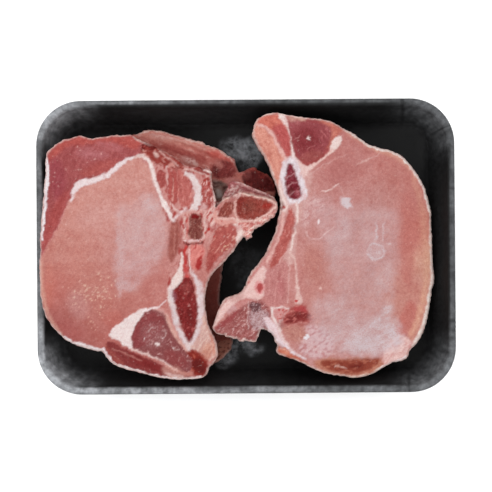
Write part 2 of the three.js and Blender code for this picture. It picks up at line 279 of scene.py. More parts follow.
WALL_TOP = TRAY_HEIGHT - 1.2
INNER_SECTION = [
    (2.4, TRAY_HEIGHT), (3.1, TRAY_HEIGHT - 0.35), (3.75, WALL_TOP), (5.2, 19.6), (9.9, 7.8),
    (11.2, 5.6), (13.2, 4), (15.8, 3.2), (18.5, FOAM),
]
OUTER_SECTION = [
    (3.8 + WALL_RUN, 0), (2.6 + WALL_RUN, 0.5), (2 + WALL_RUN, 1.8), (1.2, 21.8), (0.3, 23.2),
    (0, 24.2), (0.5, 24.8), (1.4, TRAY_HEIGHT),
]


def tray_at(x, y):
    """Height of the tray's inner surface: its section, read at each point's inset."""
    insets, heights = zip(*INNER_SECTION)
    return np.interp(inset_at(x, y), insets, heights)


def left_rest(x):
    """Underside of the left chop: flat on the lower one, and up to the rim by a square law."""
    t = np.maximum(0, (RIM_LIFT_START - x) / (RIM_LIFT_START - RIM_LIFT_END))
    return UPPER_REST + (RIM_REST - UPPER_REST) * t * t


def lower_rest(x):
    """Underside of the lower chop: flat on the tray's floor."""
    return np.full(np.shape(x), float(FLOOR_REST))


def right_rest(x):
    """Underside of the right chop: a ramp down to the right that starts with a bend."""
    t = np.maximum(0, (x - RAMP_START) / (RAMP_END - RAMP_START))
    eased = np.where(t < RAMP_BEND, t * t / (2 * RAMP_BEND), t - RAMP_BEND / 2)
    return UPPER_REST - (UPPER_REST - RAMP_LOW) * eased / (1 - RAMP_BEND / 2)


def unevenness(x, y):
    """How far a cut face dips below its full height, in long shallow swells."""
    swell = np.sin(0.11 * x + 1) * np.cos(0.13 * y) + 0.6 * np.sin(0.23 * x - 0.19 * y + 2)
    return SWELL_DEPTH * (1.6 + swell) / 3.2


def scale_at(z):
    """Millimetres to a pixel at a height: the camera's distance over its distance at the rim."""
    return MM_PER_PIXEL * (CAMERA_HEIGHT - z) / (CAMERA_HEIGHT - TRAY_HEIGHT)


def place(points, rest):
    """Pixels of an outline as places in the plan, at the height where a chop's edge shows."""
    px, py = np.array(points, dtype=float).T
    height = np.full(px.shape, float(TRAY_HEIGHT))
    for _ in range(3):
        across = (px - PHOTO_MIDDLE[0]) * scale_at(height)
        up = (PHOTO_MIDDLE[1] - py) * scale_at(height)
        x = across * math.cos(ROLL) + up * math.sin(ROLL)
        y = up * math.cos(ROLL) - across * math.sin(ROLL)
        height = rest(x) + CHOP_THICKNESS - EDGE_DROP
    return np.column_stack([x, y])


def pixels_of(x, y, z):
    """The photograph's pixel that each point of the part falls on."""
    across = x * math.cos(ROLL) - y * math.sin(ROLL)
    up = x * math.sin(ROLL) + y * math.cos(ROLL)
    return PHOTO_MIDDLE[0] + across / scale_at(z), PHOTO_MIDDLE[1] - up / scale_at(z)


# Tones as they show, in 8-bit display colours

LOIN = (198, 136, 128)
LEAN_RED = (168, 88, 88)
SHADE = (84, 30, 28)
FAT = (250, 232, 232)
FLECK = (232, 200, 190)
FROST = (221, 202, 205)
EDGE_TONE_AND_HIGHLIGHT = (246, 214, 206)
RIND_FAT = (226, 186, 174)
RIND_LEAN = (176, 100, 92)

# How much the fibres and blotches change red, green and blue, and how strongly each tissue is mottled
FIBRE_SWING = np.array((0.16, 0.3, 0.3))
BLOTCH_SWING = np.array((0.06, 0.15, 0.16))
KINDS = ("fat", "marrow", "cortex")
MOTTLE = {"loin": 0.4, "lean": 0.45, "fat": 0.28, "marrow": 0.8, "cortex": 0.25}
LOIN_MOTTLE = 0.3

# Reflectance of the black foam and of the frost dust on it, and the foam's bluish cast
FOAM_BLACK = 0.0062
DUST = (0.26, 0.27, 0.29, 1)
FOAM_CAST = np.array((0.96, 0.99, 1.04))


def patch(colour, points, soft=0.8, kind="lean", strength=1.0, fibres=None, specks=None):
    """An area of one tissue inside a closed curve. It can have fibres, streaks at an angle in degrees, and
    specks of a second colour where a noise is over a threshold: (colour, threshold, size in pixels)."""
    return {"colour": colour, "points": points, "soft": soft, "kind": kind, "strength": strength,
            "fibres": fibres, "specks": specks}


def oval(centre, radii, tilt):
    """Points of an oval with half-sizes across and up, turned by a tilt in degrees to the left."""
    turn = math.radians(tilt)
    count = 12
    ring = [2 * math.pi * k / count for k in range(count)]
    spots = [(radii[0] * math.cos(a), -radii[1] * math.sin(a)) for a in ring]
    return [(centre[0] + u * math.cos(turn) + v * math.sin(turn),
             centre[1] - u * math.sin(turn) + v * math.cos(turn)) for u, v in spots]


def line(colour, points, widths, soft=0.7, kind="fat", strength=1.0):
    """A seam or vein along an open curve, with its widths from end to end."""
    return {"colour": colour, "points": points, "soft": soft, "kind": kind, "strength": strength,
            "widths": widths}


def dots(colour, centres, radius, kind="fat", strength=1.0):
    """Small round flecks of one size."""
    return {"colour": colour, "centres": centres, "radius": radius, "kind": kind, "strength": strength}


def sprinkle(centre, radii, count, seed):
    """Random places round a centre, thinner outwards: a Gaussian with the radii as its half-widths."""
    return np.random.default_rng(seed).normal(centre, radii, (count, 2)).tolist()


# Each chop has tones of its loin, its own colour with painted light and shade across it, as (across, down,
# radius, colour), then layers from the loin outwards, and frost on top of them

LEFT_TONES_AND_SHADE = [
    (100, 205, 26, (210, 148, 138)), (70, 255, 22, (202, 134, 124)), (132, 235, 22, (206, 150, 144)),
    (100, 300, 22, (197, 128, 118)), (72, 322, 18, (170, 96, 92)), (142, 275, 20, (196, 126, 119)),
    (55, 290, 12, (196, 116, 108)), (120, 330, 14, (182, 104, 98)),
]
LEFT_LAYERS = [
    patch((220, 170, 164), oval((98, 215), (22, 10), 20), soft=8, strength=0.3, kind="loin"),
    patch((176, 98, 94), oval((70, 330), (16, 7), -30), soft=5, strength=0.5, kind="loin"),
    patch((206, 120, 104), oval((49, 285), (5, 22), 0), soft=4, strength=0.35, kind="loin"),
    patch((222, 176, 172), oval((78, 305), (10, 14), 20), soft=6, strength=0.28, kind="loin"),
    patch((196, 112, 102), oval((112, 318), (9, 8), 30), soft=4, strength=0.5, kind="loin"),
    dots((236, 196, 176), sprinkle((97, 291), (12, 10), 46, 71), 0.8, strength=0.7),
    dots((226, 176, 158), sprinkle((92, 312), (12, 12), 30, 70), 0.6, strength=0.7),
    dots((234, 188, 176), sprinkle((78, 262), (20, 32), 30, 72), 0.5, strength=0.7),
    patch(LEAN_RED, [(36, 262), (42, 256), (50, 241), (57, 228), (62, 217), (67, 205), (71, 198),
        (74, 190), (78, 183), (92, 180.5), (100, 178), (108, 174), (121, 164), (132, 157.5), (142, 155),
        (150, 146), (140, 124), (34, 124), (30, 200)], fibres=70),
    patch((188, 90, 82), [(47, 160), (52, 149), (66, 140), (84, 136), (104, 137), (128, 135), (141, 141),
        (134, 149), (112, 142), (88, 144), (66, 147), (54, 158)], soft=2.5, strength=0.75, fibres=10),
    patch((158, 74, 82), oval((57, 180), (9, 22), 8), soft=5, strength=0.7, fibres=80),
    patch((178, 84, 80), [(42, 250), (46, 228), (52, 208), (66, 190), (68, 198), (60, 218), (50, 240)],
        soft=3, strength=0.6, fibres=70),
    patch((200, 128, 132), oval((92, 154), (15, 5), -8), soft=5, strength=0.5, fibres=10),
    patch((196, 118, 120), oval((110, 146), (14, 3.5), -16), soft=3, strength=0.5, fibres=-15),
    patch((182, 92, 86), oval((100, 168), (20, 6), 18), soft=4, strength=0.6, fibres=20),
    dots((232, 180, 172), sprinkle((72, 165), (16, 15), 22, 73), 0.55, strength=0.75),
    patch((204, 142, 136), [(140, 157), (146, 150), (158, 150), (172, 156), (184, 163), (200, 164),
        (214, 170), (215, 186), (219, 203), (222, 220), (212, 232), (204, 248), (196, 268), (184, 284),
        (172, 292), (166, 290), (172, 268), (176, 250), (171, 232), (164, 214), (157, 196), (152, 176),
        (146, 164)], soft=1.2, kind="fat", fibres=75, specks=((172, 76, 72), 0.05, 3)),
    patch((152, 66, 60), [(141, 148), (150, 144), (160, 149), (170, 155), (180, 161), (184, 168),
        (176, 171), (166, 166), (156, 164), (150, 158), (143, 154)], soft=1.4, fibres=-30,
        specks=((210, 146, 136), 0.2, 2)),
    patch((112, 40, 38), [(142, 142.5), (148, 143), (156, 147), (154, 151), (146, 149), (141, 150)],
        soft=1.4, specks=((176, 80, 74), 0.2, 2)),
    patch((228, 196, 188), [(153, 152), (157, 151), (159, 155), (157, 158), (154, 156)], soft=1.4,
        kind="fat", strength=0.6),
    line((222, 176, 168), [(160, 151), (166, 157), (172, 160), (178, 166)], [1.6, 2.4, 2], strength=0.7),
    patch((150, 52, 50), [(157, 173), (160, 169.5), (164.5, 172), (166, 180), (164, 187.5), (160, 188),
        (157, 182)], specks=((190, 96, 90), 0.3, 2)),
    line((232, 200, 194), [(167, 166), (167.5, 178), (168.5, 190), (171, 204)], [1.4, 1.8, 1.6],
        strength=0.8),
    patch((168, 66, 62), [(169, 174), (172, 170), (176, 174), (178, 184), (178, 194), (176, 203),
        (171, 203), (168, 194), (168, 183)], fibres=85),
    line((226, 172, 160), [(172.6, 178), (173, 188), (172.4, 201)], [1, 1.4, 1.6], strength=0.8),
    patch((186, 96, 90), [(178, 170), (183, 173), (189, 182), (192, 192), (192, 201), (188, 206),
        (182, 206), (178.5, 200), (177.5, 188)], fibres=80, specks=((214, 140, 130), 0.4, 2)),
    line((150, 52, 48), [(179, 174), (180, 186), (181, 198)], [1.4, 1.2, 1], strength=0.6, kind="lean"),
    patch((206, 138, 132), [(157, 170), (166, 168), (178, 168), (190, 182), (192, 204), (180, 208),
        (168, 204), (158, 188)], soft=2.5, strength=0.22),
    line((232, 212, 210), [(186, 173.5), (192, 177), (196.5, 185), (198.4, 195), (196.5, 204),
        (191.5, 211)], [4, 6, 7, 7.6, 7, 5.4], soft=1.2, kind="cortex", strength=1.2),
    line((232, 196, 190), [(191.5, 211), (184, 213.2), (177, 210.5), (172.5, 206)], [4.4, 3.6, 3, 2],
        soft=0.8, kind="cortex", strength=0.85),
    line((168, 60, 58), [(198, 167.5), (204, 168.5), (209, 173)], [2.4, 2.6, 2], kind="lean"),
    patch((146, 70, 66), oval((202, 170.5), (8.6, 3.4), -12), soft=1.6, strength=0.85),
    line((236, 208, 200), [(184, 168.5), (191, 169.5), (198, 172.5), (205, 174.5), (211, 177)],
        [1.8, 1.8, 1.2, 1.2], strength=0.6),
    line((110, 34, 32), [(187, 171.6), (193, 172.4)], [1, 0.8], strength=0.6, kind="lean"),
    patch((168, 66, 60), [(202.5, 179), (207, 177.5), (211, 180), (212, 192), (211.5, 205), (208, 210),
        (204, 208), (201.8, 198), (201.8, 187)], kind="marrow", fibres=70, specks=((220, 168, 162), 0.15,
        1.6)),
    patch((204, 140, 136), oval((207, 196), (4.6, 12), 0), soft=2, strength=0.25, kind="marrow"),
    line((240, 214, 208), [(204, 170), (211, 172.5), (213, 180), (213.8, 192), (214.6, 203),
        (215.6, 214)], [2, 2.2, 1.8], kind="cortex"),
    patch((226, 182, 174), [(200, 208), (206, 211), (214, 206), (218, 216), (212, 226), (206, 218),
        (200, 212)], soft=1.6, kind="fat", fibres=60, specks=((184, 84, 80), 0.1, 2)),
    patch((218, 172, 168), oval((204, 207), (3.4, 3.4), 0), soft=1.4, kind="fat", strength=0.8),
    patch((214, 158, 150), [(183, 213), (188, 211), (203, 211), (206, 222), (205, 240), (200, 243),
        (184, 243), (182, 228)], soft=1.4, kind="fat", fibres=88, specks=((176, 70, 68), 0.15, 1.8)),
    patch((132, 72, 66), [(190, 216), (195, 213.5), (201, 216), (202.6, 224), (202, 238), (192, 239),
        (188.6, 236), (189, 226)], kind="marrow", fibres=88, specks=((172, 120, 108), 0.3, 2)),
    patch((128, 34, 34), oval((195.5, 216.5), (4, 2.2), 0), soft=0.8),
    line((196, 60, 58), [(186.6, 216), (187, 226), (186.6, 236)], [1.2, 1, 1.2], strength=0.7,
        kind="lean"),
    line((236, 206, 198), [(184.4, 216), (184.8, 228), (184.6, 238)], [1.6, 1.4, 1.4], strength=0.8,
        kind="cortex"),
    line((232, 200, 192), [(204.5, 214), (205, 226), (203.6, 238)], [1.6, 1.8, 1.4], strength=0.7,
        kind="cortex"),
    patch((164, 94, 86), [(171, 222), (176, 220), (180, 228), (180, 242), (176, 256), (171, 262),
        (168, 252), (169, 236)], soft=2.4, fibres=85),
    line((212, 146, 136), [(174.5, 226), (175, 240), (173.6, 254)], [1.2, 1, 1.2], strength=0.5),
    line(FAT, [(166, 206), (169, 214), (173, 220), (179, 214), (186, 209)], [2.8, 3.4, 3, 2.4, 2],
        soft=1.4, strength=0.6),
    line((104, 34, 34), [(184, 243.4), (193, 244.2), (203, 242.4)], [1.8, 2.4, 1.4], kind="lean"),
    line((236, 204, 204), [(184, 240.6), (193, 241), (202, 239.6)], [1.4, 1.6, 1.2]),
    patch((222, 136, 128), [(190, 246), (200, 245), (205, 250), (202, 260), (196, 270), (190, 262)],
        soft=2, kind="fat", fibres=55, specks=((188, 66, 66), 0.5, 2.4)),
    line((198, 64, 62), [(185.5, 246), (184.6, 256), (185, 266), (187.6, 279)], [3.2, 2.6, 3.2, 4.2],
        soft=1.2, kind="lean", strength=0.85),
    line((240, 214, 210), [(189.6, 250), (189.4, 262), (191, 274)], [1.6, 1.6, 1.4], strength=0.85),
    patch((168, 38, 40), [(195.5, 264), (198.6, 257), (202, 255), (201.6, 264), (199, 271), (196.5, 269)],
        soft=1.2, strength=0.9),
    patch((238, 214, 208), [(182, 252), (179, 266), (172, 280), (168, 292), (168.6, 304), (174, 306),
        (178, 292), (183, 278)], kind="cortex"),
    patch((130, 47, 47), [(184, 278), (179, 284), (173.5, 290), (174.4, 300), (177, 309), (178, 317),
        (181, 326), (184, 334), (189, 344), (193, 337), (195.6, 329), (197.4, 320), (198.2, 312),
        (197, 304), (195.5, 296), (193.5, 287), (190.5, 279)], soft=1.2, kind="marrow", fibres=80,
        specks=((172, 84, 82), 0.5, 1.6)),
    patch((150, 84, 92), oval((173, 296), (3, 7), 8), soft=1, kind="marrow", strength=0.8),
    patch((100, 30, 32), oval((190, 314), (3, 8), 5), soft=1.6, strength=0.5, kind="marrow"),
    patch((164, 84, 80), oval((187, 288), (4, 6), 0), soft=2.4, strength=0.5, kind="marrow"),
    line((225, 205, 206), [(170.6, 290), (172, 302), (174.4, 313), (177, 325), (180.8, 334),
        (187.8, 347)], [3, 4, 4.6, 4.8, 4.4, 5], soft=1.9, kind="cortex", strength=1.1),
    line((226, 204, 205), [(192, 272), (198.4, 284), (200.6, 294), (201, 304), (200.9, 315), (199.4, 325),
        (196.8, 334), (190.4, 347)], [2.4, 5, 7, 7.4, 6.2, 5.2, 4.4, 5], soft=1.9, kind="cortex",
        strength=1.1),
    patch((230, 206, 204), oval((189, 347), (4, 4), 0), soft=2, kind="cortex", strength=0.8),
    patch((217, 176, 166), [(190, 348), (196, 340), (201, 328), (204, 316), (208, 326), (212, 336),
        (217, 348), (215, 357), (209, 361), (202, 353), (196, 350)], soft=1.2, kind="fat", fibres=60,
        specks=((204, 132, 118), 0.6, 2.4)),
    patch((206, 136, 114), oval((207, 351), (6, 9), -25), soft=4, strength=0.7, fibres=60),
    line((206, 116, 90), [(206, 322), (210, 334), (214, 346), (214, 355)], [1.4, 2.4, 3, 2], soft=1.2,
        strength=0.6),
    patch((140, 52, 46), [(186, 353), (194, 350), (202, 355), (207, 361), (208, 370), (204, 376),
        (196, 377), (191, 370), (186, 361)], soft=2.2, fibres=-60, specks=((186, 96, 80), 0.45, 2)),
    patch((92, 24, 26), oval((199, 366), (6, 8), 35), soft=2.5, strength=0.7),
    patch((190, 118, 106), [(178, 366), (184, 362), (190, 368), (192, 377), (184, 380), (177, 376)],
        soft=2, strength=0.5, kind="fat"),
    patch((142, 80, 80), [(146, 311.5), (152, 309.5), (161, 311), (167, 316), (172, 326), (178, 339),
        (186, 352), (192, 362), (190, 371), (180, 371), (168, 365), (156, 359), (144, 353.5), (134, 349),
        (131.5, 339), (134, 327), (141, 315)], specks=((196, 146, 144), 0.5, 2.4)),
    patch((144, 66, 68), [(141, 319), (148, 313), (160, 316), (164, 326), (158, 336), (146, 344),
        (136, 348), (132.5, 340), (135, 328)], soft=2, strength=0.7, fibres=60),
    patch((148, 66, 66), [(166, 350), (178, 352), (188, 362), (180, 368), (166, 361)], soft=3,
        strength=0.5, fibres=-35),
    patch((170, 116, 116), oval((153, 335), (12, 12), 30), soft=5, strength=0.35, specks=((214, 178, 176),
        0.3, 1.8)),
    line((218, 164, 158), [(152, 308.6), (161, 310.4), (167, 315)], [1.6, 3.8, 3], soft=1.4,
        strength=0.7),
    line((230, 178, 166), [(166, 314), (170.6, 326), (177.6, 339), (186, 350)], [2.4, 4.6, 3, 1.6],
        soft=1.4, strength=0.85),
    patch((239, 219, 216), [(109, 337), (113, 328), (122, 321.5), (132, 314), (140, 309.5), (147, 309.5),
        (141, 317), (135, 327), (131.5, 338), (132.5, 349.5), (124, 345.5), (117, 339.5)], soft=1.1,
        kind="fat"),
    line(FAT, [(144, 310.5), (152, 308.5), (160, 306), (166, 300)], [2.4, 1.8, 1], strength=0.8),
    patch((136, 62, 61), [(108, 342), (118, 345), (130, 351), (142, 356), (156, 362), (168, 368),
        (180, 373), (192, 378), (170, 379), (150, 374), (128, 368), (112, 360), (105, 352)], soft=1.2,
        fibres=-28),
    patch((128, 46, 46), [(126, 352), (140, 357), (158, 365), (164, 371), (150, 369), (134, 362)], soft=2,
        strength=0.75, fibres=-28),
    line((216, 150, 140), [(112, 349), (126, 354), (142, 361)], [1.2, 1.6, 1], soft=1, strength=0.5),
    line((230, 196, 190), [(132, 349.5), (140, 352), (150, 356), (160, 360), (168, 365), (177, 371)],
        [2.6, 2.2, 2, 1.8, 2], soft=1.1),
    patch((216, 160, 148), [(162, 369), (172, 366), (180, 370), (187, 377.6), (178, 379.6), (168, 377)],
        soft=2.6, strength=0.6, kind="fat", fibres=-30),
    line((232, 202, 196), [(166, 373), (173, 375.6), (182, 377)], [1.6, 3.4, 2.4], soft=1.4,
        strength=0.7),
    patch((186, 104, 94), [(105, 352), (112, 359), (124, 365), (122, 361), (112, 352), (106, 344)],
        soft=2, strength=0.4),
    line((236, 218, 220), [(103.5, 348.5), (105.6, 353), (109.5, 358.5)], [2.6, 4, 2.4]),
    line((244, 232, 234), [(46, 158), (47.4, 172), (46.4, 188), (45.4, 203), (43.6, 218), (42, 240)],
        [2.2, 3.6, 3.2, 2.8, 1.6], strength=1.4),
    line((236, 222, 222), [(58, 333), (70, 341), (80, 344.6), (92, 348), (102, 350)],
        [1.4, 2.8, 3.6, 3.2], soft=1, strength=1.3),
    line((240, 220, 218), [(104, 355), (114, 363.5), (126, 368), (140, 371.6), (156, 376), (172, 378.4),
        (190, 378.8), (203, 377)], [3.4, 2.8, 2.4, 2.4, 2.2, 2.4], strength=1.3),
    line((226, 176, 158), [(41.5, 262), (42, 285), (46, 308), (54, 325), (62, 335)], [2, 3.4, 3, 2],
        soft=1.8, strength=0.6),
    line((224, 160, 154), [(42, 255), (50, 241), (57, 228), (62, 217), (67, 205), (71, 198)],
        [0.8, 1, 1.2, 1.6], soft=1, strength=0.6),
    line((238, 218, 218), [(71, 201), (74, 192), (77.5, 185.4), (84, 182.6), (92, 181), (100, 178),
        (108, 174), (115, 169), (121, 164), (127, 159.5), (133, 157.5)],
        [1.6, 4.6, 7, 6, 4.8, 5, 4.6, 3.6, 2.6], soft=1.3, strength=1.2),
    line((104, 40, 38), [(87, 176.6), (94, 176)], [0.8, 0.8], strength=0.5, kind="lean"),
    line((232, 206, 200), [(133, 157.5), (138, 156), (143, 155.6), (147, 159)], [2.6, 3, 3.4], soft=0.9,
        strength=0.9),
    line((244, 226, 222), [(146, 158), (150.5, 164), (152.6, 172), (155, 181), (157.5, 188), (160.5, 196),
        (164.5, 204), (169, 213), (173, 220)], [3, 4.4, 4.2, 3, 3.6, 4, 5, 4, 1.6], soft=1.1),
    patch((178, 92, 86), [(222, 225), (229, 222.6), (235, 228), (237, 236), (236, 243), (231, 251),
        (225, 258), (217, 266), (209, 274), (206, 268), (207, 254), (212, 240), (216, 230)], soft=1.4,
        fibres=62, specks=((216, 146, 134), 0.5, 2)),
    patch((166, 74, 70), oval((213, 262), (3, 10), -20), soft=2, strength=0.7, fibres=62),
    patch((242, 214, 206), [(234, 222), (240, 221), (244, 226), (243, 236), (239, 244), (236, 240),
        (237, 232)], soft=1, kind="fat"),
    line((238, 206, 198), [(240, 240), (236, 248), (229, 256), (220, 265), (212, 274)],
        [2.4, 2.2, 2, 1.8], strength=0.85),
    patch((216, 138, 130), [(236, 220), (250, 221.5), (262, 218.5), (272, 212), (277, 211), (273, 219),
        (266, 224), (258, 228), (253, 233), (250, 239), (244, 238), (242, 228)], soft=1, kind="marrow",
        fibres=30, specks=((242, 206, 196), 0, 1.8)),
    patch((222, 160, 150), [(214, 211), (222, 219), (232, 220), (238, 223), (230, 224), (222, 225),
        (215, 222)], soft=0.9, kind="fat"),
    patch((146, 74, 66), [(219, 212), (221, 207), (225, 202.5), (230, 201), (234, 202.5), (234, 209),
        (231, 214), (228, 217), (222, 217.5), (218.5, 216)], kind="marrow", fibres=85,
        specks=((176, 112, 102), 0.3, 1.6)),
    patch((150, 70, 62), [(237, 200), (241, 196.5), (248, 196), (256, 198.5), (266, 200.5), (272.6, 204),
        (270, 209), (264, 214.5), (257, 218.6), (245, 219), (238, 216.5), (236, 210)], kind="marrow",
        fibres=84, specks=((162, 92, 84), 0.3, 1.6)),
    patch((124, 70, 60), oval((249, 207), (7, 6), 0), soft=3.5, kind="marrow", strength=0.5, fibres=84),
    patch((120, 38, 34), [(237, 200), (242, 197), (246, 198), (242, 206), (240, 214), (237, 212)],
        soft=1.6, strength=0.6, kind="marrow"),
    patch((168, 50, 44), oval((267, 206), (4.6, 3), 0), soft=1.8, kind="marrow", strength=0.7),
    line((238, 204, 192), [(218, 203.5), (222, 200), (227, 198), (236, 195), (241, 193.4), (252, 195.4),
        (264, 198), (272, 200.5), (276.4, 204)], [1.4, 2, 1.8, 2, 1.8, 2], kind="cortex"),
    line((226, 178, 168), [(235.4, 200), (234.8, 208), (235, 214), (237, 220)], [1.6, 1.6, 1.6],
        kind="cortex"),
    line((236, 192, 182), [(217, 218), (224, 219), (231, 218.6), (238, 220.6), (247, 221.4), (256, 220),
        (264, 216.4), (271, 211), (276, 206)], [2, 1.8, 1.8, 2.2, 1.8], kind="cortex"),
    # Painted shade at the left end of the lower ledge
    line((92, 30, 28), [(226, 196.4), (229.5, 196.6), (233, 195.4)], [1.4, 1.6, 1], kind="lean",
        strength=0.8),
    patch((160, 88, 90), [(221, 198), (224, 188), (229, 181), (236, 180), (246, 184), (258, 189),
        (268, 193.5), (275, 199), (264, 196), (252, 193), (241, 190.6), (236, 192), (226, 196)], soft=0.8,
        kind="marrow", fibres=-20, specks=((216, 164, 162), 0.2, 2.4)),
    patch((222, 186, 180), [(226, 192), (230, 187), (238, 186), (242, 190), (239, 197), (230, 198)],
        soft=1.2, kind="cortex", strength=0.75, specks=((166, 90, 90), 0, 1.8)),
    line((220, 172, 168), [(236, 183), (246, 187), (257, 191), (266, 194.6)], [1.2, 1.8, 1.6, 1],
        strength=0.65, kind="cortex"),
    # A dark line of painted shade along the lower ledge
    line((104, 38, 40), [(238, 188.5), (250, 191), (262, 195), (272, 199)], [1, 1.4, 1], strength=0.7,
        kind="lean"),
    dots((190, 24, 30), [(207, 218), (209, 229), (238.6, 224.6), (214, 236), (258, 223), (205.6, 233),
        (222, 221)], 1.0, kind="lean", strength=0.85),
    dots((240, 200, 170), [(228, 245), (225, 246.5), (222, 251), (234, 239), (226.5, 249), (230, 243)],
        0.6, strength=0.85),
    dots(FAT, [(144, 338.5), (173, 348), (163, 339)], 0.7, strength=0.75),
    dots((220, 176, 172), sprinkle((158, 336), (11, 12), 24, 74), 0.5, strength=0.6),
    dots((222, 160, 152), sprinkle((188, 308), (6, 16), 16, 75), 0.5, strength=0.6),
    dots((236, 200, 190), sprinkle((226, 240), (5, 9), 14, 76), 0.5, strength=0.7),
    patch((158, 86, 84), oval((232, 199), (3.6, 3.6), 0), soft=1.8, strength=0.55),
    line((220, 174, 168), [(232, 246), (224, 256), (216, 264.6), (208, 277)], [1.6, 4, 4.4, 2.4],
        soft=1.6, strength=0.6),
    patch((196, 108, 106), oval((239, 227), (5, 3.2), 30), soft=1.8, kind="fat", strength=0.5),
    dots((242, 214, 204), sprinkle((258, 224), (11, 4), 22, 77), 0.6, strength=0.8),
    line((226, 196, 192), [(149, 331), (151, 328), (155, 328)], [0.8, 1, 0.7], strength=0.7),
    line((226, 196, 192), [(163, 330), (166, 333), (165, 338)], [0.7, 0.9, 0.7], strength=0.6),
    line((222, 190, 186), [(172, 347), (175, 350), (179, 349)], [1, 0.8, 1.2], strength=0.7),
    patch((236, 212, 208), oval((157.6, 344), (2.6, 1.5), 10), soft=0.8, kind="fat"),
]
LEFT_FROST = [
    patch(FROST, [(117, 214), (132, 204), (150, 200), (162, 210), (166, 228), (164, 250), (156, 266),
        (140, 282), (126, 292), (117, 290)], soft=5, strength=0.32),
    patch(FROST, [(117, 215), (122, 214), (123, 250), (122, 290), (117, 292)], soft=1.2, strength=0.14),
    patch(FROST, [(138, 196), (150, 194), (163, 203), (158, 209), (144, 206)], soft=3, strength=0.3),
    patch(FROST, oval((128, 285), (12, 5), -30), soft=4, strength=0.2),
]

# The lower chop, where it shows past the left one: its dark tone and darkest marrow are painted shade under
# the left chop
LOWER_TONES_AND_SHADE = [
    # The second, dark tone is painted shade where the left chop hangs over this one
    (190, 150, 60, (192, 116, 106)), (215, 300, 50, (112, 54, 48)),
]
LOWER_LAYERS = [
    patch((186, 106, 98), [(134, 130), (160, 128), (190, 136), (216, 144), (238, 156), (236, 172),
        (214, 172), (196, 168), (172, 158), (150, 146)], soft=1, fibres=-22, specks=((214, 150, 140), 0.3,
        3)),
    patch((204, 132, 120), [(140, 133), (152, 131), (176, 136), (200, 143), (216, 150), (208, 152),
        (184, 146), (160, 141), (146, 139)], soft=2.5, strength=0.8, fibres=-17),
    patch((168, 82, 76), [(150, 143), (170, 146), (190, 152), (206, 158), (200, 164), (180, 156),
        (160, 149)], soft=2, strength=0.8, fibres=-20),
    patch((220, 168, 160), oval((188, 160), (7, 3), -20), soft=3, strength=0.6, kind="fat"),
    patch((160, 78, 72), oval((216, 158), (10, 3), -28), soft=2, strength=0.6, fibres=-28),
    patch((214, 158, 150), oval((162, 137), (12, 3), -8), soft=2.5, strength=0.6),
    patch((190, 88, 80), [(206, 150), (218, 152), (230, 160), (234, 166), (224, 160), (212, 157)],
        soft=1.5, strength=0.8, fibres=-30),
    line((222, 170, 160), [(150, 134.5), (170, 138), (190, 143.5), (210, 151)], [1, 2.4, 1.8, 1], soft=1,
        strength=0.6),
    line((146, 62, 60), [(152, 146), (166, 148.5), (180, 153), (196, 159)], [1.2, 2.4, 2, 1], soft=1,
        strength=0.6, kind="lean"),
    line((152, 68, 62), [(176, 141.5), (190, 146.5), (204, 152), (218, 158)], [1, 1.8, 2, 1], soft=1,
        strength=0.55, kind="lean"),
    patch((226, 182, 174), oval((192, 161.5), (7, 2.6), -24), soft=1.6, kind="fat", strength=0.75,
        specks=((176, 96, 90), 0.1, 1.8)),
    line((238, 206, 196), [(137, 134), (151, 130.8), (163, 132), (176, 135.6), (190, 140), (205, 144),
        (218, 149.5), (227, 155.5), (235, 163)], [1.6, 1.4, 1.8, 1.4], strength=0.8),
    # Dark red marrow seen past the left chop's canal, deepened by painted shade in the cavity
    patch((128, 58, 56), [(212, 163), (222, 160), (231, 162), (236.6, 169), (234, 177), (224, 179),
        (213, 177)], soft=2.8, kind="marrow", fibres=30, specks=((160, 92, 90), 0.3, 2)),
    # Painted shade, deepest in the cavity
    patch((92, 34, 36), oval((216, 172), (4, 5), 0), soft=2.5, kind="marrow", strength=0.7),
    line((186, 100, 92), [(212, 163), (222, 158.5), (231, 160.5), (237, 168), (239, 173)], [1.4, 2.6, 2],
        soft=1.8, kind="cortex", strength=0.6),
    # Dark red marrow of the lower vertebra, darkened by painted shade under the left chop
    patch((94, 30, 28), [(243, 172), (252, 169), (262, 173), (272, 180), (276, 190), (264, 192),
        (250, 187), (243, 181)], soft=1.2, kind="marrow", fibres=-60, specks=((128, 52, 50), 0.2, 2)),
    line((160, 66, 60), [(240, 173), (246, 171), (254, 168), (262, 172.5), (271, 178), (276, 186)],
        [3, 2.4, 1.8], soft=1.6, kind="cortex", strength=0.75),
    patch((142, 108, 100), [(213, 180), (222, 182), (229, 184), (226, 192), (221, 200), (215, 198)],
        soft=1.6, kind="fat", fibres=20, specks=((90, 58, 54), 0.1, 2)),
    patch((186, 168, 162), [(216.6, 190), (221, 190.5), (222, 196), (218, 197.5)], soft=1.6, kind="fat"),
    patch((98, 76, 70), oval((220, 183), (4, 2.6), -20), soft=1.6, kind="fat", strength=0.8),
    patch((190, 120, 116), [(225, 180), (234, 178), (242, 181), (236, 185), (228, 185)], soft=1.4,
        kind="fat", strength=0.7),
    # A dark band of painted shade along the lower chop's edge under the left chop
    line((120, 64, 56), [(224, 262), (222, 280), (220, 300)], [2, 2, 1.8], soft=1.6, strength=0.5),
    patch((134, 84, 72), [(216, 344), (226, 340), (233, 342), (230, 352), (224, 358), (214, 364)], soft=1,
        specks=((92, 52, 44), 0.2, 3)),
    patch((188, 118, 110), oval((218, 164), (5, 3.6), -30), soft=2, strength=0.7),
    patch((146, 82, 78), oval((246, 174), (5, 6), -20), soft=2.5, strength=0.5),
]

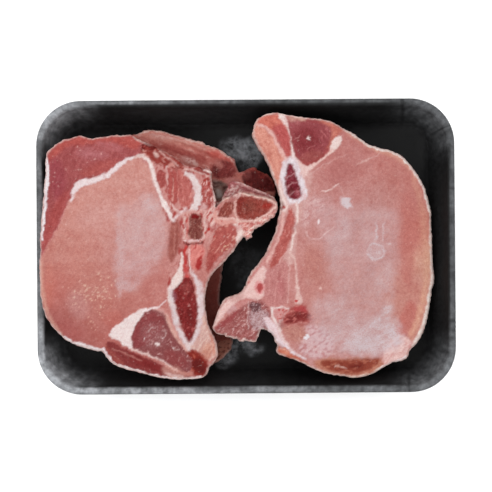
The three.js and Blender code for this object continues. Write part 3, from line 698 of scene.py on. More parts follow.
RIGHT_TONES_AND_SHADE = [
    (345, 180, 30, (194, 126, 121)), (340, 235, 26, (202, 148, 144)), (372, 205, 20, (201, 150, 145)),
    (320, 280, 26, (200, 136, 128)), (350, 300, 26, (196, 138, 132)), (412, 225, 14, (198, 120, 110)),
    (405, 300, 16, (206, 140, 128)), (300, 190, 14, (208, 154, 148)), (280, 285, 18, (204, 138, 134)),
    (330, 345, 16, (202, 146, 142)), (395, 180, 18, (196, 124, 116)), (425, 260, 8, (216, 160, 142)),
]
RIGHT_LAYERS = [
    patch((196, 112, 104), [(396, 330), (402, 312), (410, 300), (418, 310), (414, 328), (406, 338),
        (398, 338)], soft=3, strength=0.7, kind="loin"),
    patch((196, 118, 110), [(404, 196), (412, 200), (416, 230), (414, 268), (408, 290), (402, 270),
        (402, 230)], soft=4, strength=0.6, kind="loin"),
    patch((184, 112, 108), oval((340, 172), (16, 10), 30), soft=6, strength=0.5, kind="loin"),
    patch((194, 126, 116), oval((314, 264), (10, 20), 10), soft=6, strength=0.6, kind="loin"),
    patch((206, 160, 158), oval((322, 205), (12, 9), 30), soft=4, strength=0.5, kind="loin"),
    patch((214, 166, 160), [(278, 190), (281, 160), (290, 156), (303, 164), (311, 172), (310, 190),
        (303, 214), (297, 236), (294, 262), (284, 262), (288, 240), (286, 214)], soft=2, kind="fat",
        strength=0.9),
    patch((218, 146, 130), [(250, 132), (252, 122), (258, 121), (264, 127), (272, 137), (278, 150),
        (284, 160), (281, 178), (276, 186), (268, 166), (258, 146)], soft=1.2, fibres=-60),
    line((242, 210, 200), [(252, 130), (256, 144), (264, 158), (271, 172), (276, 188)],
        [2.4, 4, 3.2, 2.6], soft=1.6, strength=0.75),
    patch((210, 118, 104), [(256, 121), (264, 116), (278, 115), (284, 119), (288, 130), (280, 136),
        (270, 129), (262, 125)], soft=1.6, fibres=-40),
    patch((188, 92, 90), [(272, 128), (282, 124), (287, 130), (290, 140), (291, 152), (288, 158),
        (282, 148), (277, 138)], soft=2.4, fibres=-62),
    line((236, 186, 178), [(255.5, 124.6), (262.6, 126), (269.2, 130.4), (273.8, 137), (277, 144),
        (281.6, 152.8), (285, 159)], [2.4, 3, 3.4, 3.6], soft=1, strength=0.9),
    line((242, 220, 216), [(281.7, 115), (285, 121.4), (288.2, 130), (291.2, 139), (292.2, 147),
        (293, 154), (296, 161)], [8, 3.4, 1.8, 1.6, 2.4, 3, 4], soft=1.3),
    patch((160, 76, 76), [(289, 117.5), (306, 118.5), (326, 120.5), (341, 128), (338, 134), (330, 148),
        (318, 161), (306, 165), (296, 157), (292, 140)], soft=1, fibres=-30),
    patch((200, 118, 104), [(318, 120), (330, 122), (342, 129), (338, 135), (332, 144), (328, 148),
        (329, 136), (324, 126)], soft=2.4, fibres=-30),
    patch((222, 178, 160), [(290, 117), (302, 117.6), (306, 121), (296, 123), (290, 122)], soft=1.4,
        kind="fat", strength=0.75),
    patch((156, 78, 82), [(289, 122), (305, 121), (322, 123), (331, 128.5), (331, 137), (327, 147),
        (319, 156), (308, 160.5), (299, 157), (293.5, 146), (291, 134)], soft=2.6, fibres=-62,
        specks=((188, 106, 108), 0.5, 2)),
    patch((130, 50, 54), oval((306, 140), (13, 13), 30), soft=5, strength=0.7, fibres=-50),
    patch((164, 88, 82), oval((311, 156), (12, 5), 15), soft=3, strength=0.6, fibres=-10),
    patch((176, 108, 108), oval((295, 121), (6, 3), -20), soft=2, strength=0.5, fibres=70),
    line((214, 150, 148), [(294.5, 139.5), (298, 137.4), (301, 135)], [0.8, 1.2, 0.8], strength=0.6),
    line((206, 128, 128), [(308, 149), (312, 146.6), (315, 145)], [0.8, 1.1, 0.7], strength=0.6),
    patch((240, 214, 208), [(330.5, 151), (331, 144), (334, 138.6), (341, 135.6), (342.8, 140),
        (339, 146), (334, 151)], soft=0.9, kind="fat"),
    line((236, 196, 188), [(332, 150), (328, 154.5), (322.8, 158.6), (317, 163), (311.7, 166.4),
        (305, 169)], [3, 2.2, 2, 2.2, 3.4, 5], soft=0.9),
    patch((236, 200, 194), [(298, 160), (305, 166), (313, 165), (309, 171), (305, 178), (300, 172),
        (296, 164)], soft=1.2, kind="fat"),
    patch((232, 216, 220), [(287, 158.3), (294, 158.3), (299.4, 167), (302.8, 177), (307, 189),
        (307.5, 196), (303, 201), (297, 203.5), (289.4, 203), (285.6, 197), (282.2, 187), (279.8, 176),
        (282.4, 165)], soft=1.3, kind="cortex", fibres=80, specks=((228, 192, 192), 0.2, 2.4)),
    patch((128, 48, 58), [(288.3, 164), (292.8, 165), (295, 171.7), (297.4, 180.5), (300.6, 189.4),
        (300.4, 197), (294, 199.4), (288.3, 197), (286, 189.4), (285, 180.5), (286.7, 171.7)], soft=1.4,
        kind="marrow", fibres=20, specks=((176, 104, 110), 0.35, 1.8)),
    patch((92, 22, 30), oval((291, 191), (3, 5), 0), soft=1.5, kind="marrow", strength=0.75),
    patch((168, 92, 98), oval((297.6, 194), (2.4, 4.6), 10), soft=1.2, kind="marrow", strength=0.7),
    patch((150, 76, 84), oval((292, 175), (2.4, 5), 10), soft=1.5, kind="marrow", strength=0.5),
    line((206, 156, 158), [(287, 178), (290.6, 175.4), (294.6, 173.6)], [0.7, 0.9, 0.7], strength=0.75,
        kind="cortex"),
    line((206, 156, 158), [(286.6, 187.4), (291, 184), (297, 183)], [0.7, 0.9, 0.7], strength=0.75,
        kind="cortex"),
    line((196, 140, 144), [(289, 196), (293.6, 192), (298, 192.6)], [0.7, 1, 0.7], strength=0.7,
        kind="cortex"),
    patch((240, 212, 206), [(279, 178), (282, 188), (285, 199), (288, 206), (284, 212), (280.6, 204),
        (279, 192)], soft=1, kind="fat"),
    patch((184, 98, 92), [(287, 214), (291, 208), (295, 221), (292, 236), (287, 249), (279, 262),
        (270, 270), (271, 260), (276, 248), (281, 234), (286, 218)], soft=1.8, fibres=68,
        specks=((216, 146, 138), 0.4, 2)),
    line((236, 186, 178), [(284, 212), (282.6, 224), (278.6, 238), (273, 250), (267, 262)],
        [2.4, 2.4, 2.4, 2.6], soft=1, strength=0.8),
    line((204, 116, 104), [(279.4, 208), (277.4, 222), (272.4, 240), (266, 252), (259, 262), (252, 272),
        (245, 286), (238, 292), (226, 298)], [1.4, 2, 3, 3.4, 3, 2], soft=0.9, strength=0.85,
        kind="lean"),
    line((240, 212, 206), [(297, 204), (297.5, 216), (296, 226), (293.5, 238), (290.5, 250)],
        [2.8, 2.2, 2, 2.2]),
    line((232, 190, 184), [(290.5, 250), (289.6, 262), (289, 276), (288.4, 292), (287.6, 303)],
        [1.6, 1.4, 1.2, 1.4], soft=1, strength=0.7),
    line((236, 200, 192), [(289, 252), (294, 258), (295.6, 264), (296.4, 276), (297.6, 288),
        (298.8, 302)], [1.4, 1.8, 1.4, 2, 3.6, 8], soft=1.2, strength=0.85),
    line((232, 186, 180), [(288, 250), (282, 257), (277, 266), (271, 274)], [1.6, 1.4, 1.4, 0.8],
        strength=0.7),
    patch((196, 130, 127), [(264, 272), (276, 266), (284, 260), (288, 266), (288, 284), (286, 302),
        (274, 306), (266, 300), (262, 286)], soft=2, strength=0.8, fibres=85),
    patch((192, 116, 116), oval((281, 286), (3.4, 10), 5), soft=2, strength=0.6, fibres=85),
    patch((236, 196, 190), [(247, 286), (254, 276), (262, 266), (266, 270), (264, 282), (264, 296),
        (258, 300), (248, 298), (240, 300), (226, 312), (214, 328), (213, 324), (220, 308), (230, 299),
        (241, 294)], soft=1.2, kind="fat"),
    patch((226, 156, 154), oval((259.6, 287.4), (5, 6.8), 0), soft=1, kind="fat"),
    patch((184, 84, 84), oval((259.6, 287.4), (3.2, 4.8), 0), soft=0.7),
    patch((163, 96, 94), [(213, 330), (222, 322), (232, 314), (242, 307), (250, 302), (260, 300),
        (267, 306), (271, 314), (270, 324), (265, 330), (259, 334), (255, 341), (240, 340), (225, 335)],
        soft=1.6, kind="marrow", fibres=38, specks=((208, 158, 154), 0.35, 1.6)),
    patch((158, 72, 74), [(214, 328), (224, 320), (234, 312), (240, 309), (236, 316), (224, 326)],
        soft=1.4, strength=0.7),
    patch((196, 166, 168), [(250, 311), (258, 309), (267, 312), (268, 322), (262, 330), (254, 330),
        (250, 322)], soft=2, kind="marrow", strength=0.75, specks=((150, 104, 108), 0.3, 1.9)),
    patch((114, 74, 76), [(250, 303.5), (256, 302.6), (261, 305), (260, 310.5), (254, 311.5),
        (249.6, 308)], soft=1, kind="marrow", specks=((176, 140, 142), 0.2, 1.9)),
    line((228, 204, 202), [(248, 302), (248.6, 311), (247.8, 320), (248.4, 330)], [0.9, 0.7, 1, 0.7],
        strength=0.7),
    line((236, 206, 196), [(214.6, 333), (224, 336.2), (236, 340), (250, 342.6)], [0.9, 1.3, 1, 1.3],
        strength=0.7),
    line((86, 32, 32), [(257, 334), (261, 331.5), (266.6, 330.4)], [1.6, 2.2, 1.4], kind="lean"),
    patch((214, 152, 148), [(272, 309), (289, 309), (281, 321)], soft=1, kind="fat",
        specks=((190, 70, 66), 0.3, 2)),
    line((242, 220, 216), [(271.6, 307.8), (280, 307.4), (289, 308.4), (285.6, 314), (281.4, 321)],
        [1.6, 1.6, 1.8], soft=0.8),
    line((240, 216, 212), [(271.4, 308), (273.4, 316), (277, 325), (280, 331)], [2.2, 2.2, 2.4, 2],
        soft=0.8),
    dots((186, 40, 44), [(278.7, 309.9)], 0.9, kind="lean"),
    dots((196, 60, 62), [(296.4, 300.8)], 1.5, kind="lean"),
    patch((170, 86, 82), [(281, 322), (285, 313), (293, 306), (303, 304.6), (309, 311), (314, 320),
        (304, 325), (290, 326)], soft=3, fibres=14, specks=((206, 128, 120), 0.3, 2)),
    patch((126, 48, 48), [(285, 319), (295, 312), (304, 310), (311, 317), (301, 321.6), (287, 323)],
        soft=2, strength=0.9, fibres=14, specks=((186, 104, 98), 0.3, 1.6)),
    patch((182, 76, 78), [(294, 308), (302, 306), (308, 311), (300, 312), (295, 311)], soft=1.8,
        strength=0.8),
    line((226, 166, 158), [(288, 326), (298, 323.4), (308, 323)], [0.8, 1.2, 0.8], soft=1, strength=0.6),
    patch((190, 128, 116), [(283, 327), (300, 326), (306, 332), (304, 341), (294, 342), (286, 336)],
        soft=3.5, strength=0.75, fibres=-30),
    patch((222, 188, 190), [(306, 326), (322, 328), (334, 340), (330, 354), (314, 358), (300, 352),
        (302, 342), (308, 336)], soft=3, kind="fat", strength=0.75, specks=((196, 138, 140), 0.1, 3.4)),
    dots((236, 226, 230), [(305.7, 337.4), (307, 336)], 1.9),
    patch((196, 112, 92), [(277, 345), (284, 347), (294, 353), (300, 358), (312, 367), (308, 370),
        (292, 360), (277, 354)], soft=1.4, fibres=-30, specks=((226, 166, 146), 0.3, 2)),
    patch((234, 206, 208), [(264, 317), (271, 319), (277, 327), (281, 337), (288, 346), (281, 347),
        (275, 341), (269, 332)], soft=1.4, kind="fat"),
    line((238, 212, 208), [(280, 320), (279.6, 330), (284, 340), (292, 349)], [1.6, 2.2, 2.2, 1.6],
        soft=1, strength=0.8),
    line((234, 214, 218), [(266.8, 326), (273.4, 337), (284, 345), (294.5, 353.4), (305, 358.4)],
        [3, 3, 3.2, 3, 2], soft=0.9),
    line((226, 190, 186), [(298, 338), (310, 346), (322, 352), (336, 354)], [1, 1.6, 1], soft=1,
        strength=0.5),
    patch((190, 124, 102), [(314, 362), (328, 358), (346, 359), (364, 358), (382, 360), (382, 368),
        (368, 376), (350, 378.5), (332, 376), (319, 369)], soft=2.6, strength=0.9),
    patch((148, 72, 58), [(320, 362.5), (330, 359.6), (346, 360), (362, 359), (379, 358.6), (376, 366),
        (364, 372), (348, 374), (334, 371.5), (325, 368)], soft=2, fibres=6, specks=((182, 108, 88), 0.3,
        2)),
    patch((112, 40, 34), oval((356, 366), (8, 4), 4), soft=2.5, strength=0.6, fibres=6),
    line((228, 190, 178), [(335, 366), (341, 366.6), (347, 368.6)], [0.9, 1.6, 0.8], strength=0.8),
    line((234, 206, 192), [(312, 368), (330, 374.4), (350, 377), (368, 374.6), (382, 367)],
        [1.8, 3, 2.4, 1.6], strength=1.1),
    patch((232, 190, 184), [(383, 362), (386, 348), (393, 338), (402, 335), (411, 341), (411, 350),
        (407, 357), (398, 362), (388, 366)], soft=1.6, kind="fat", fibres=45, specks=((218, 160, 154),
        0.3, 2.6)),
    line((206, 138, 130), [(386, 352), (394, 344), (403, 338), (410, 333)], [0.8, 1.2, 0.8], soft=1,
        strength=0.6, kind="lean"),
    line(FAT, [(407, 357), (398, 361), (386, 366), (374, 373)], [2, 3, 3, 1.4], strength=0.9),
    line((216, 158, 136), [(414, 180), (422, 205), (425, 240), (427, 275), (422, 312), (412, 336)],
        [3, 6, 9, 10, 9, 7], soft=4, strength=0.55, kind="lean"),
    line((228, 174, 150), [(346, 132), (358, 139), (370, 147), (384, 152), (398, 157.6), (409, 167),
        (416, 178)], [2, 3.4, 4, 4, 4, 3], soft=2, strength=0.5),
    line((246, 232, 226), [(344, 129.5), (356, 136), (367, 144), (379, 148.8), (392, 152), (403, 158.5),
        (412, 168), (419, 178), (424, 188), (427.5, 200), (430, 212)],
        [1.6, 2, 2.6, 2.4, 2.4, 3.4, 3.6, 3.4, 3.2], soft=0.9, strength=1.3),
    line((238, 220, 212), [(427, 198), (430, 212), (430.8, 232), (431.6, 250), (432.6, 272), (432, 286),
        (429.6, 300), (426.4, 316), (421.8, 331), (413, 345)], [2, 2.2, 2.8, 3.2, 4, 4.4, 4.6, 4.6, 3.4],
        soft=1.2, strength=1.1),
    line((232, 178, 152), [(426, 240), (427, 270), (424, 295), (418, 318), (411, 334)],
        [2, 3.4, 4.4, 4.4, 3], soft=2.4, strength=0.5),
    line((240, 206, 200), [(321, 192), (327, 190.6), (332, 188.6), (338.3, 183.6)], [1, 1.6, 1.3, 1],
        strength=1.1),
    line((226, 188, 184), [(338, 184), (342, 190), (344, 196)], [0.8, 0.7, 0.6], strength=0.6),
    line((232, 194, 190), [(306, 231), (309, 237.6), (319, 238.5), (326, 233), (335, 227)],
        [0.8, 1, 1.2, 1.1, 0.7], strength=0.85),
    line((230, 188, 180), [(356, 165), (362, 161.6), (370, 159), (376, 156), (380, 152)],
        [0.9, 1.3, 1.1, 0.8], strength=0.7),
    line((226, 184, 178), [(306, 178), (322, 166), (338, 158), (346, 155)], [0.7, 0.9, 0.8, 0.6],
        strength=0.5),
    patch((226, 190, 188), [(306, 200), (314, 197), (322, 200), (324, 206), (316, 214), (309, 224),
        (303, 226), (302, 214)], soft=3, strength=0.5, fibres=35, specks=((206, 150, 148), 0.1, 2)),
    line((224, 180, 174), [(297, 214), (304, 210), (309, 204)], [0.8, 1.2, 0.8], strength=0.5),
    line((216, 180, 176), [(305, 232), (307, 236), (309, 240)], [0.8, 1, 0.7], strength=0.5),
    dots((206, 70, 66), [(284, 207)], 1.3, kind="lean", strength=0.9),
    patch((240, 216, 212), [(306, 138.6), (308, 136), (310.4, 137), (309.4, 138.4), (311, 140.6),
        (308.4, 139.6)], soft=0.7, kind="fat"),
    patch(FAT, [(316.6, 221), (318.6, 219.6), (320.4, 221), (320, 223.6), (318, 224), (317.6, 222)],
        soft=0.7, strength=0.9),
    dots((244, 206, 196), [(320.5, 288.6)], 1.1, strength=0.9),
    patch((242, 228, 232), [(342.6, 199), (346, 197.4), (349.6, 199.6), (349, 203), (351, 206.6),
        (347.4, 208.6), (345, 204.6)], soft=0.9, strength=0.8, kind="fat"),
    dots((228, 188, 182), sprinkle((340, 262), (28, 40), 40, 78), 0.5, strength=0.6),
    patch((178, 114, 110), oval((295, 227), (3.2, 4.6), -20), soft=1.8, strength=0.55),
    patch((158, 100, 98), oval((281, 325), (3.2, 4.2), 0), soft=1.8, strength=0.5),
    patch((210, 172, 172), oval((232, 309.6), (6, 2.8), 35), soft=2, kind="fat", strength=0.5),
    patch((112, 44, 42), oval((281, 206), (3.4, 4.6), 0), soft=1.6, strength=0.8),
    patch((176, 118, 114), oval((280.5, 346), (4, 2.6), -30), soft=1.6, strength=0.55),
    patch((180, 118, 110), oval((237, 298), (7, 3), 20), soft=2, kind="fat", strength=0.45),
    dots((226, 184, 180), sprinkle((240, 324), (11, 6), 24, 79), 0.5, strength=0.6),
]
RIGHT_FROST = [
    patch(FROST, [(318, 214), (340, 206), (366, 208), (398, 214), (397, 250), (396, 284), (394, 314),
        (404, 334), (384, 352), (352, 352), (326, 330), (332, 290), (326, 250)], soft=7, strength=0.24),
    patch(FROST, [(350, 336), (364, 325), (378, 315), (388, 307), (393, 318), (402, 338), (398, 348),
        (382, 353), (356, 354), (342, 347)], soft=6, strength=0.84),
    patch(FROST, [(312, 304), (332, 296), (352, 310), (356, 340), (342, 352), (318, 344)], soft=6,
        strength=0.32),
    patch(FROST, [(341, 199), (346, 197), (351, 199), (350, 203), (352, 206), (346, 209), (343, 205)],
        soft=1.6, strength=1.2),
    line(FROST, [(376, 222), (376.6, 231), (376, 240)], [1.4, 2, 1.2], soft=1, strength=0.9),
    line(FROST, [(383, 222), (383.4, 231), (383, 240)], [1.4, 2, 1.2], soft=1, strength=0.9),
    line(FROST, [(366, 250), (371, 246), (379, 246), (385, 251), (382, 257), (373, 258), (366, 254)],
        [2, 2.6, 2], soft=1.2, strength=0.85),
    patch(FROST, oval((376, 251), (11, 7), 10), soft=3, strength=0.3),
    patch(FROST, oval((340, 240), (9, 22), -15), soft=5, strength=0.22),
    patch(FROST, oval((384, 282), (8, 16), -20), soft=4, strength=0.26),
    dots(FROST, [(372, 250), (379, 253), (388, 244)], 1.4, strength=0.5),
]

# Painted shade in creases that cross the tray's rim, taken off its painted sheen, and a dark smudge of
# painted shade on the near rim
TRAY_CREASE_SHADE = [
    line(SHADE, [(402, 96), (402.5, 108), (402, 124)], [3, 3.4, 2], soft=1.4, strength=0.75),
    line(SHADE, [(453, 124.5), (442, 129), (432, 134.5)], [1.4, 1.6, 1], strength=0.85),
    line(SHADE, [(449, 188.5), (458, 188.5)], [1.2, 1.6], strength=0.6),
    line(SHADE, [(448, 320.5), (458, 320.5)], [2, 2.6], strength=0.75),
    line(SHADE, [(409, 376), (409.5, 394)], [3, 2.4], soft=1.2, strength=0.65),
    line(SHADE, [(401, 376), (400.5, 394)], [2, 1.6], soft=1.2, strength=0.5),
    line(SHADE, [(172, 388), (172, 400)], [1.4, 1.4], soft=1, strength=0.4),
    line(SHADE, [(34, 309), (42, 309)], [1.6, 1.2], soft=1, strength=0.5),
    line(SHADE, [(230, 96), (231, 104)], [3, 2], soft=1.4, strength=0.5),
    line(SHADE, [(198, 389), (220, 388), (238, 388), (250, 389)], [4, 7, 8, 6], soft=4, strength=0.6),
]

# Frost on the tray's floor
FLOOR_FROST = [
    patch(FROST, [(224, 143), (240, 139), (258, 140), (263, 149), (257, 161), (242, 167), (228, 158)],
        soft=6, strength=0.4),
    patch(FROST, [(212, 346), (228, 338), (250, 341), (264, 347), (254, 353), (240, 355), (232, 365),
        (216, 361)], soft=4.5, strength=0.46),
    patch(FROST, oval((251, 162), (6, 6), 0), soft=4, strength=0.3),
    patch(FROST, [(235, 250), (262, 248), (262, 262), (244, 288), (234, 284)], soft=5, strength=0.07),
]


# Painting

def cover_of(layer, x, y):
    """How far a layer covers each point, from 0 to 1."""
    if "centres" in layer:
        cover = np.zeros(x.shape)
        for cx, cy in layer["centres"]:
            away = np.hypot(x - cx, y - cy)
            cover = np.maximum(cover, smoothstep(layer["radius"] + 0.6, layer["radius"] - 0.6, away))
        return cover
    if "widths" in layer:
        return line_cover(layer["points"], layer["widths"], x, y, layer["soft"])
    path = curve(layer["points"], True, 2.0)
    inside = signed_distance(path, x, y, 2 * layer["soft"] + 1)
    return smoothstep(-layer["soft"], layer["soft"], inside)


def loin_colour(tones, px, py):
    """The loin's colour with the tones, its own colour and painted light and shade, blended in by their
    Gaussian weights, and faint blotches.
    """
    total = np.full(px.shape, 1e-3)
    colour = total[:, None] * linear(LOIN)
    for tx, ty, radius, tone in tones:
        weight = np.exp(-((px - tx) ** 2 + (py - ty) ** 2) / (2 * radius ** 2))
        colour += weight[:, None] * linear(tone)
        total += weight
    colour /= total[:, None]
    blotches = noise(px, py, 11, 29) + 0.7 * noise(px, py, 4.5, 30) + 0.9 * noise(px, py, 1.9, 26)
    return colour * (1 + blotches[:, None] * BLOTCH_SWING)


def layer_colour(layer, px, py, torn_x, torn_y):
    """A layer's colour at each point. Its fibres are a noise drawn out along their angle, and its specks
    show where a finer noise is over their threshold."""
    tone = np.tile(linear(layer["colour"]), (len(px), 1))
    along, aside = px + 0.4 * py, py
    if layer.get("fibres") is not None:
        angle = math.radians(layer["fibres"])
        along = (torn_x * math.cos(angle) - torn_y * math.sin(angle)) / 3
        aside = torn_x * math.sin(angle) + torn_y * math.cos(angle)
        streaks = noise(along * 0.6, aside, 2.2, 19) + 0.6 * noise(along * 0.75, aside, 4.6, 20)
        tone *= 1 + streaks[:, None] * FIBRE_SWING
    if layer.get("specks"):
        second, threshold, size = layer["specks"]
        grains = noise(along, aside, size, 28) + 0.6 * noise(along, aside, 2.3 * size, 32)
        speck = smoothstep(threshold - 0.15, threshold + 0.45, grains)
        tone += speck[:, None] * (linear(second) - tone)
    return tone


def frost_on(layers, px, py):
    """How frosted each point is: ragged areas, thinner and thicker in clouds."""
    frost = np.zeros(px.shape)
    ragged_x, ragged_y = px + 3 * noise(px, py, 9, 15), py + 3 * noise(px, py, 9, 16)
    for layer in layers:
        cover = cover_of(layer, ragged_x, ragged_y) * layer["strength"]
        frost += cover * (1 - frost)
    clouds = noise(px, py, 13, 38) + 0.8 * noise(px + py, py, 5, 39) + 0.5 * noise(px, py - px, 2.2, 40)
    return frost * np.clip(1 + 0.45 * clouds, 0.3, 2)


def paint(look, edge, x, y, z):
    """Colour and tissue masks at each point. The layers are laid one by one over the loin's colour, with
    edges that waver like torn tissue and lines that thin out here and there. The outline's edge has a thin
    broken line of pale connective tissue, brightened as a painted highlight, except on its bare stretches."""
    px, py = pixels_of(x, y, z)
    torn_x = px + 1.1 * noise(px, py, 5, 11) + 0.6 * noise(px, py, 2.1, 12)
    torn_y = py + 1.1 * noise(px, py, 5, 13) + 0.6 * noise(px, py, 2.1, 14)
    breaks = np.clip(0.95 + 0.5 * noise(px, py, 6, 35), 0.35, 1)
    colour = loin_colour(look["tones"], px, py)
    masks = {kind: np.zeros(px.shape) for kind in KINDS}
    masks["mottle"] = np.full(px.shape, LOIN_MOTTLE)
    for layer in look["layers"]:
        cover = cover_of(layer, torn_x, torn_y) * layer["strength"]
        if "widths" in layer:
            cover = np.minimum(cover * breaks, 1)
        colour += cover[:, None] * (layer_colour(layer, px, py, torn_x, torn_y) - colour)
        for kind in KINDS:
            masks[kind] += cover * ((layer["kind"] == kind) - masks[kind])
        masks["mottle"] += cover * (MOTTLE[layer["kind"]] - masks["mottle"])
    # The pale fringe along the outline: pale tissue with a painted highlight on the edge
    fringe = smoothstep(1.2, 0.2, edge) * smoothstep(-0.9, 0.1, noise(px, py, 5, 27))
    for (cx, cy), radius in look["bare"]:
        fringe *= smoothstep(0.6 * radius, radius, np.hypot(px - cx, py - cy))
    colour += look["fringe"] * fringe[:, None] * (linear(EDGE_TONE_AND_HIGHLIGHT) - colour)
    masks["frost"] = frost_on(look["frost"], px, py)
    return colour, masks


def paint_side(colour, masks, points, depth, edge):
    """The chop's outer side wall: streaky fat and lean instead of the face's pattern, no frost and a little
    more shade further down."""
    outer = smoothstep(1.4, 3, depth) * smoothstep(1.6, 0.8, edge)
    along = points[:, 0] + 0.8 * points[:, 1]
    streaks = noise(along, 5 * points[:, 2], 16, 44) + 0.4 * noise(along, points[:, 2], 2, 45)
    layering = smoothstep(-0.5, 0.6, streaks)[:, None]
    rind = linear(RIND_LEAN) + layering * (linear(RIND_FAT) - linear(RIND_LEAN))
    colour += 0.85 * outer[:, None] * (rind - colour)
    below = smoothstep(3.5, 8, depth)
    masks["frost"] *= 1 - below
    colour *= (1 - 0.12 * below)[:, None]


# Meshes

def mesh_object(name, points, faces, colour, masks, colour_name="flesh", crisp=()):
    """A mesh from points in millimetres and four-sided faces, with its colour and masks as attributes.
    Edges between two points of one crisp group aren't smoothed over."""
    mesh = bpy.data.meshes.new(name)
    mesh.vertices.add(len(points))
    mesh.vertices.foreach_set("co", (points * 0.001).ravel())
    mesh.loops.add(faces.size)
    mesh.loops.foreach_set("vertex_index", faces.ravel())
    mesh.polygons.add(len(faces))
    mesh.polygons.foreach_set("loop_start", np.arange(0, faces.size, 4))
    mesh.polygons.foreach_set("use_smooth", np.ones(len(faces), dtype=bool))
    mesh.update(calc_edges=True)
    mesh.validate()
    ends = np.empty(2 * len(mesh.edges), dtype=np.int32)
    mesh.edges.foreach_get("vertices", ends)
    ends = ends.reshape(-1, 2)
    sharp = np.zeros(len(ends), dtype=bool)
    for group in crisp:
        sharp |= np.isin(ends, group).all(axis=1)
    mesh.attributes.new("sharp_edge", "BOOLEAN", "EDGE").data.foreach_set("value", sharp)
    layer = mesh.attributes.new(colour_name, "FLOAT_COLOR", "POINT")
    layer.data.foreach_set("color", np.column_stack([colour, np.ones(len(colour))]).ravel())
    for kind, values in masks.items():
        layer = mesh.attributes.new(kind, "FLOAT", "POINT")
        layer.data.foreach_set("value", values)
    piece = bpy.data.objects.new(name, mesh)
    bpy.context.scene.collection.objects.link(piece)
    return piece


def plan_cells(region, low, high):
    """Square cells inside a plan region, as a grid of corners and the cells' corner numbers. Corners at
    the region's edge are moved onto it along the region's slope."""
    xs = np.arange(low[0] - 1, high[0] + 1, FACE_STEP)
    ys = np.arange(low[1] - 1, high[1] + 1, FACE_STEP)
    gx, gy = (g.ravel() for g in np.meshgrid(xs, ys, indexing="ij"))
    inside = region(gx, gy).reshape(len(xs), len(ys)) > -0.3 * FACE_STEP
    kept = inside[:-1, :-1] & inside[1:, :-1] & inside[:-1, 1:] & inside[1:, 1:]
    for _ in range(3):
        a, b, c, d = kept[:-1, :-1], kept[1:, :-1], kept[:-1, 1:], kept[1:, 1:]
        one_way, other_way = a & d & ~b & ~c, b & c & ~a & ~d
        kept[1:, :-1] |= one_way
        kept[:-1, :-1] |= other_way
    i, j = np.nonzero(kept)
    corner = i * len(ys) + j
    cells = np.column_stack([corner, corner + len(ys), corner + len(ys) + 1, corner + 1])
    used, cells = np.unique(cells, return_inverse=True)
    cells = cells.reshape(-1, 4)
    x, y = gx[used], gy[used]
    edges = boundary_edges(cells)
    rim = np.unique(edges)
    tiny = 0.05
    for _ in range(3):
        here = region(x[rim], y[rim])
        slope_x = (region(x[rim] + tiny, y[rim]) - region(x[rim] - tiny, y[rim])) / (2 * tiny)
        slope_y = (region(x[rim], y[rim] + tiny) - region(x[rim], y[rim] - tiny)) / (2 * tiny)
        steep = np.maximum(slope_x ** 2 + slope_y ** 2, 0.5)
        here = np.clip(here, -0.6 * FACE_STEP, 0.6 * FACE_STEP)
        x[rim] -= here * slope_x / steep
        y[rim] -= here * slope_y / steep
    return x, y, cells, edges


def boundary_edges(cells):
    """The cells' edges that have no cell on their other side, each in its cell's direction."""
    edges = np.vstack([cells[:, [k, (k + 1) % 4]] for k in range(4)])
    size = int(cells.max()) + 1
    forward = edges[:, 0].astype(np.int64) * size + edges[:, 1]
    backward = edges[:, 1].astype(np.int64) * size + edges[:, 0]
    return edges[~np.isin(forward, backward)]


def rounding(distance, radius):
    """How far a quarter-round edge lies below the flat, at a distance in from the edge."""
    t = np.clip(1 - distance / radius, 0, 1)
    return radius * (1 - np.sqrt(1 - t * t))


def side_wall(x, y, top, bottom, rim, outward):
    """Rows of points down a slab's wall, spread evenly between its faces and wavering in and out a little,
    with the numbers of the points in each row, its ends on the faces included."""
    rows = max(2, round(float((top[rim] - bottom[rim]).mean()) / SIDE_STEP))
    out_x, out_y = outward(x[rim], y[rim])
    points, ledges = [], [rim]
    for row in range(1, rows):
        part = row / rows
        z = top[rim] + (bottom[rim] - top[rim]) * part
        bulge = 0.22 * math.sin(math.pi * part) * noise(x[rim] * 1.7 + y[rim], z * 1.3 + 40, 2.6, 31)
        points.append(np.column_stack([x[rim] + bulge * out_x, y[rim] + bulge * out_y, z]))
        ledges.append(2 * len(x) + (row - 1) * len(rim) + np.arange(len(rim)))
    ledges.append(rim + len(x))
    return points, ledges


def slab(name, region, over, under, look):
    """A closed slab: the same cells above and below, joined by a wall along the region's edge. It is painted
    in its face's pattern, with the side's own on the outer wall, and its face gets the tissues' relief."""
    x, y, cells, edges = plan_cells(region, *look["box"])
    top, bottom = over(x, y), under(x, y)
    count = len(x)
    rim = np.unique(edges)
    wall, ledges = side_wall(x, y, top, bottom, rim, look["outward"])
    points = np.vstack([np.column_stack([x, y, top]), np.column_stack([x, y, bottom])] + wall)
    start, end = np.searchsorted(rim, edges[:, 0]), np.searchsorted(rim, edges[:, 1])
    faces = [cells, cells[:, ::-1] + count]
    for upper, lower in zip(ledges, ledges[1:]):
        faces.append(np.column_stack([upper[end], upper[start], lower[start], lower[end]]))
    face_height = over(points[:, 0], points[:, 1])
    depth = face_height - points[:, 2]
    edge = look["edge"](points[:, 0], points[:, 1])
    colour, masks = paint(look, edge, points[:, 0], points[:, 1], face_height)
    paint_side(colour, masks, points, depth, edge)
    upper_face = smoothstep(CHOP_THICKNESS * 0.5, CHOP_THICKNESS * 0.2, depth)
    points[:, 2] += tissue_relief(points[:, 0], points[:, 1], masks) * upper_face
    pocket = rim[look["edge"](x[rim], y[rim]) > 0.6]
    return mesh_object(name, points, np.vstack(faces), colour, masks, crisp=(pocket, pocket + count))


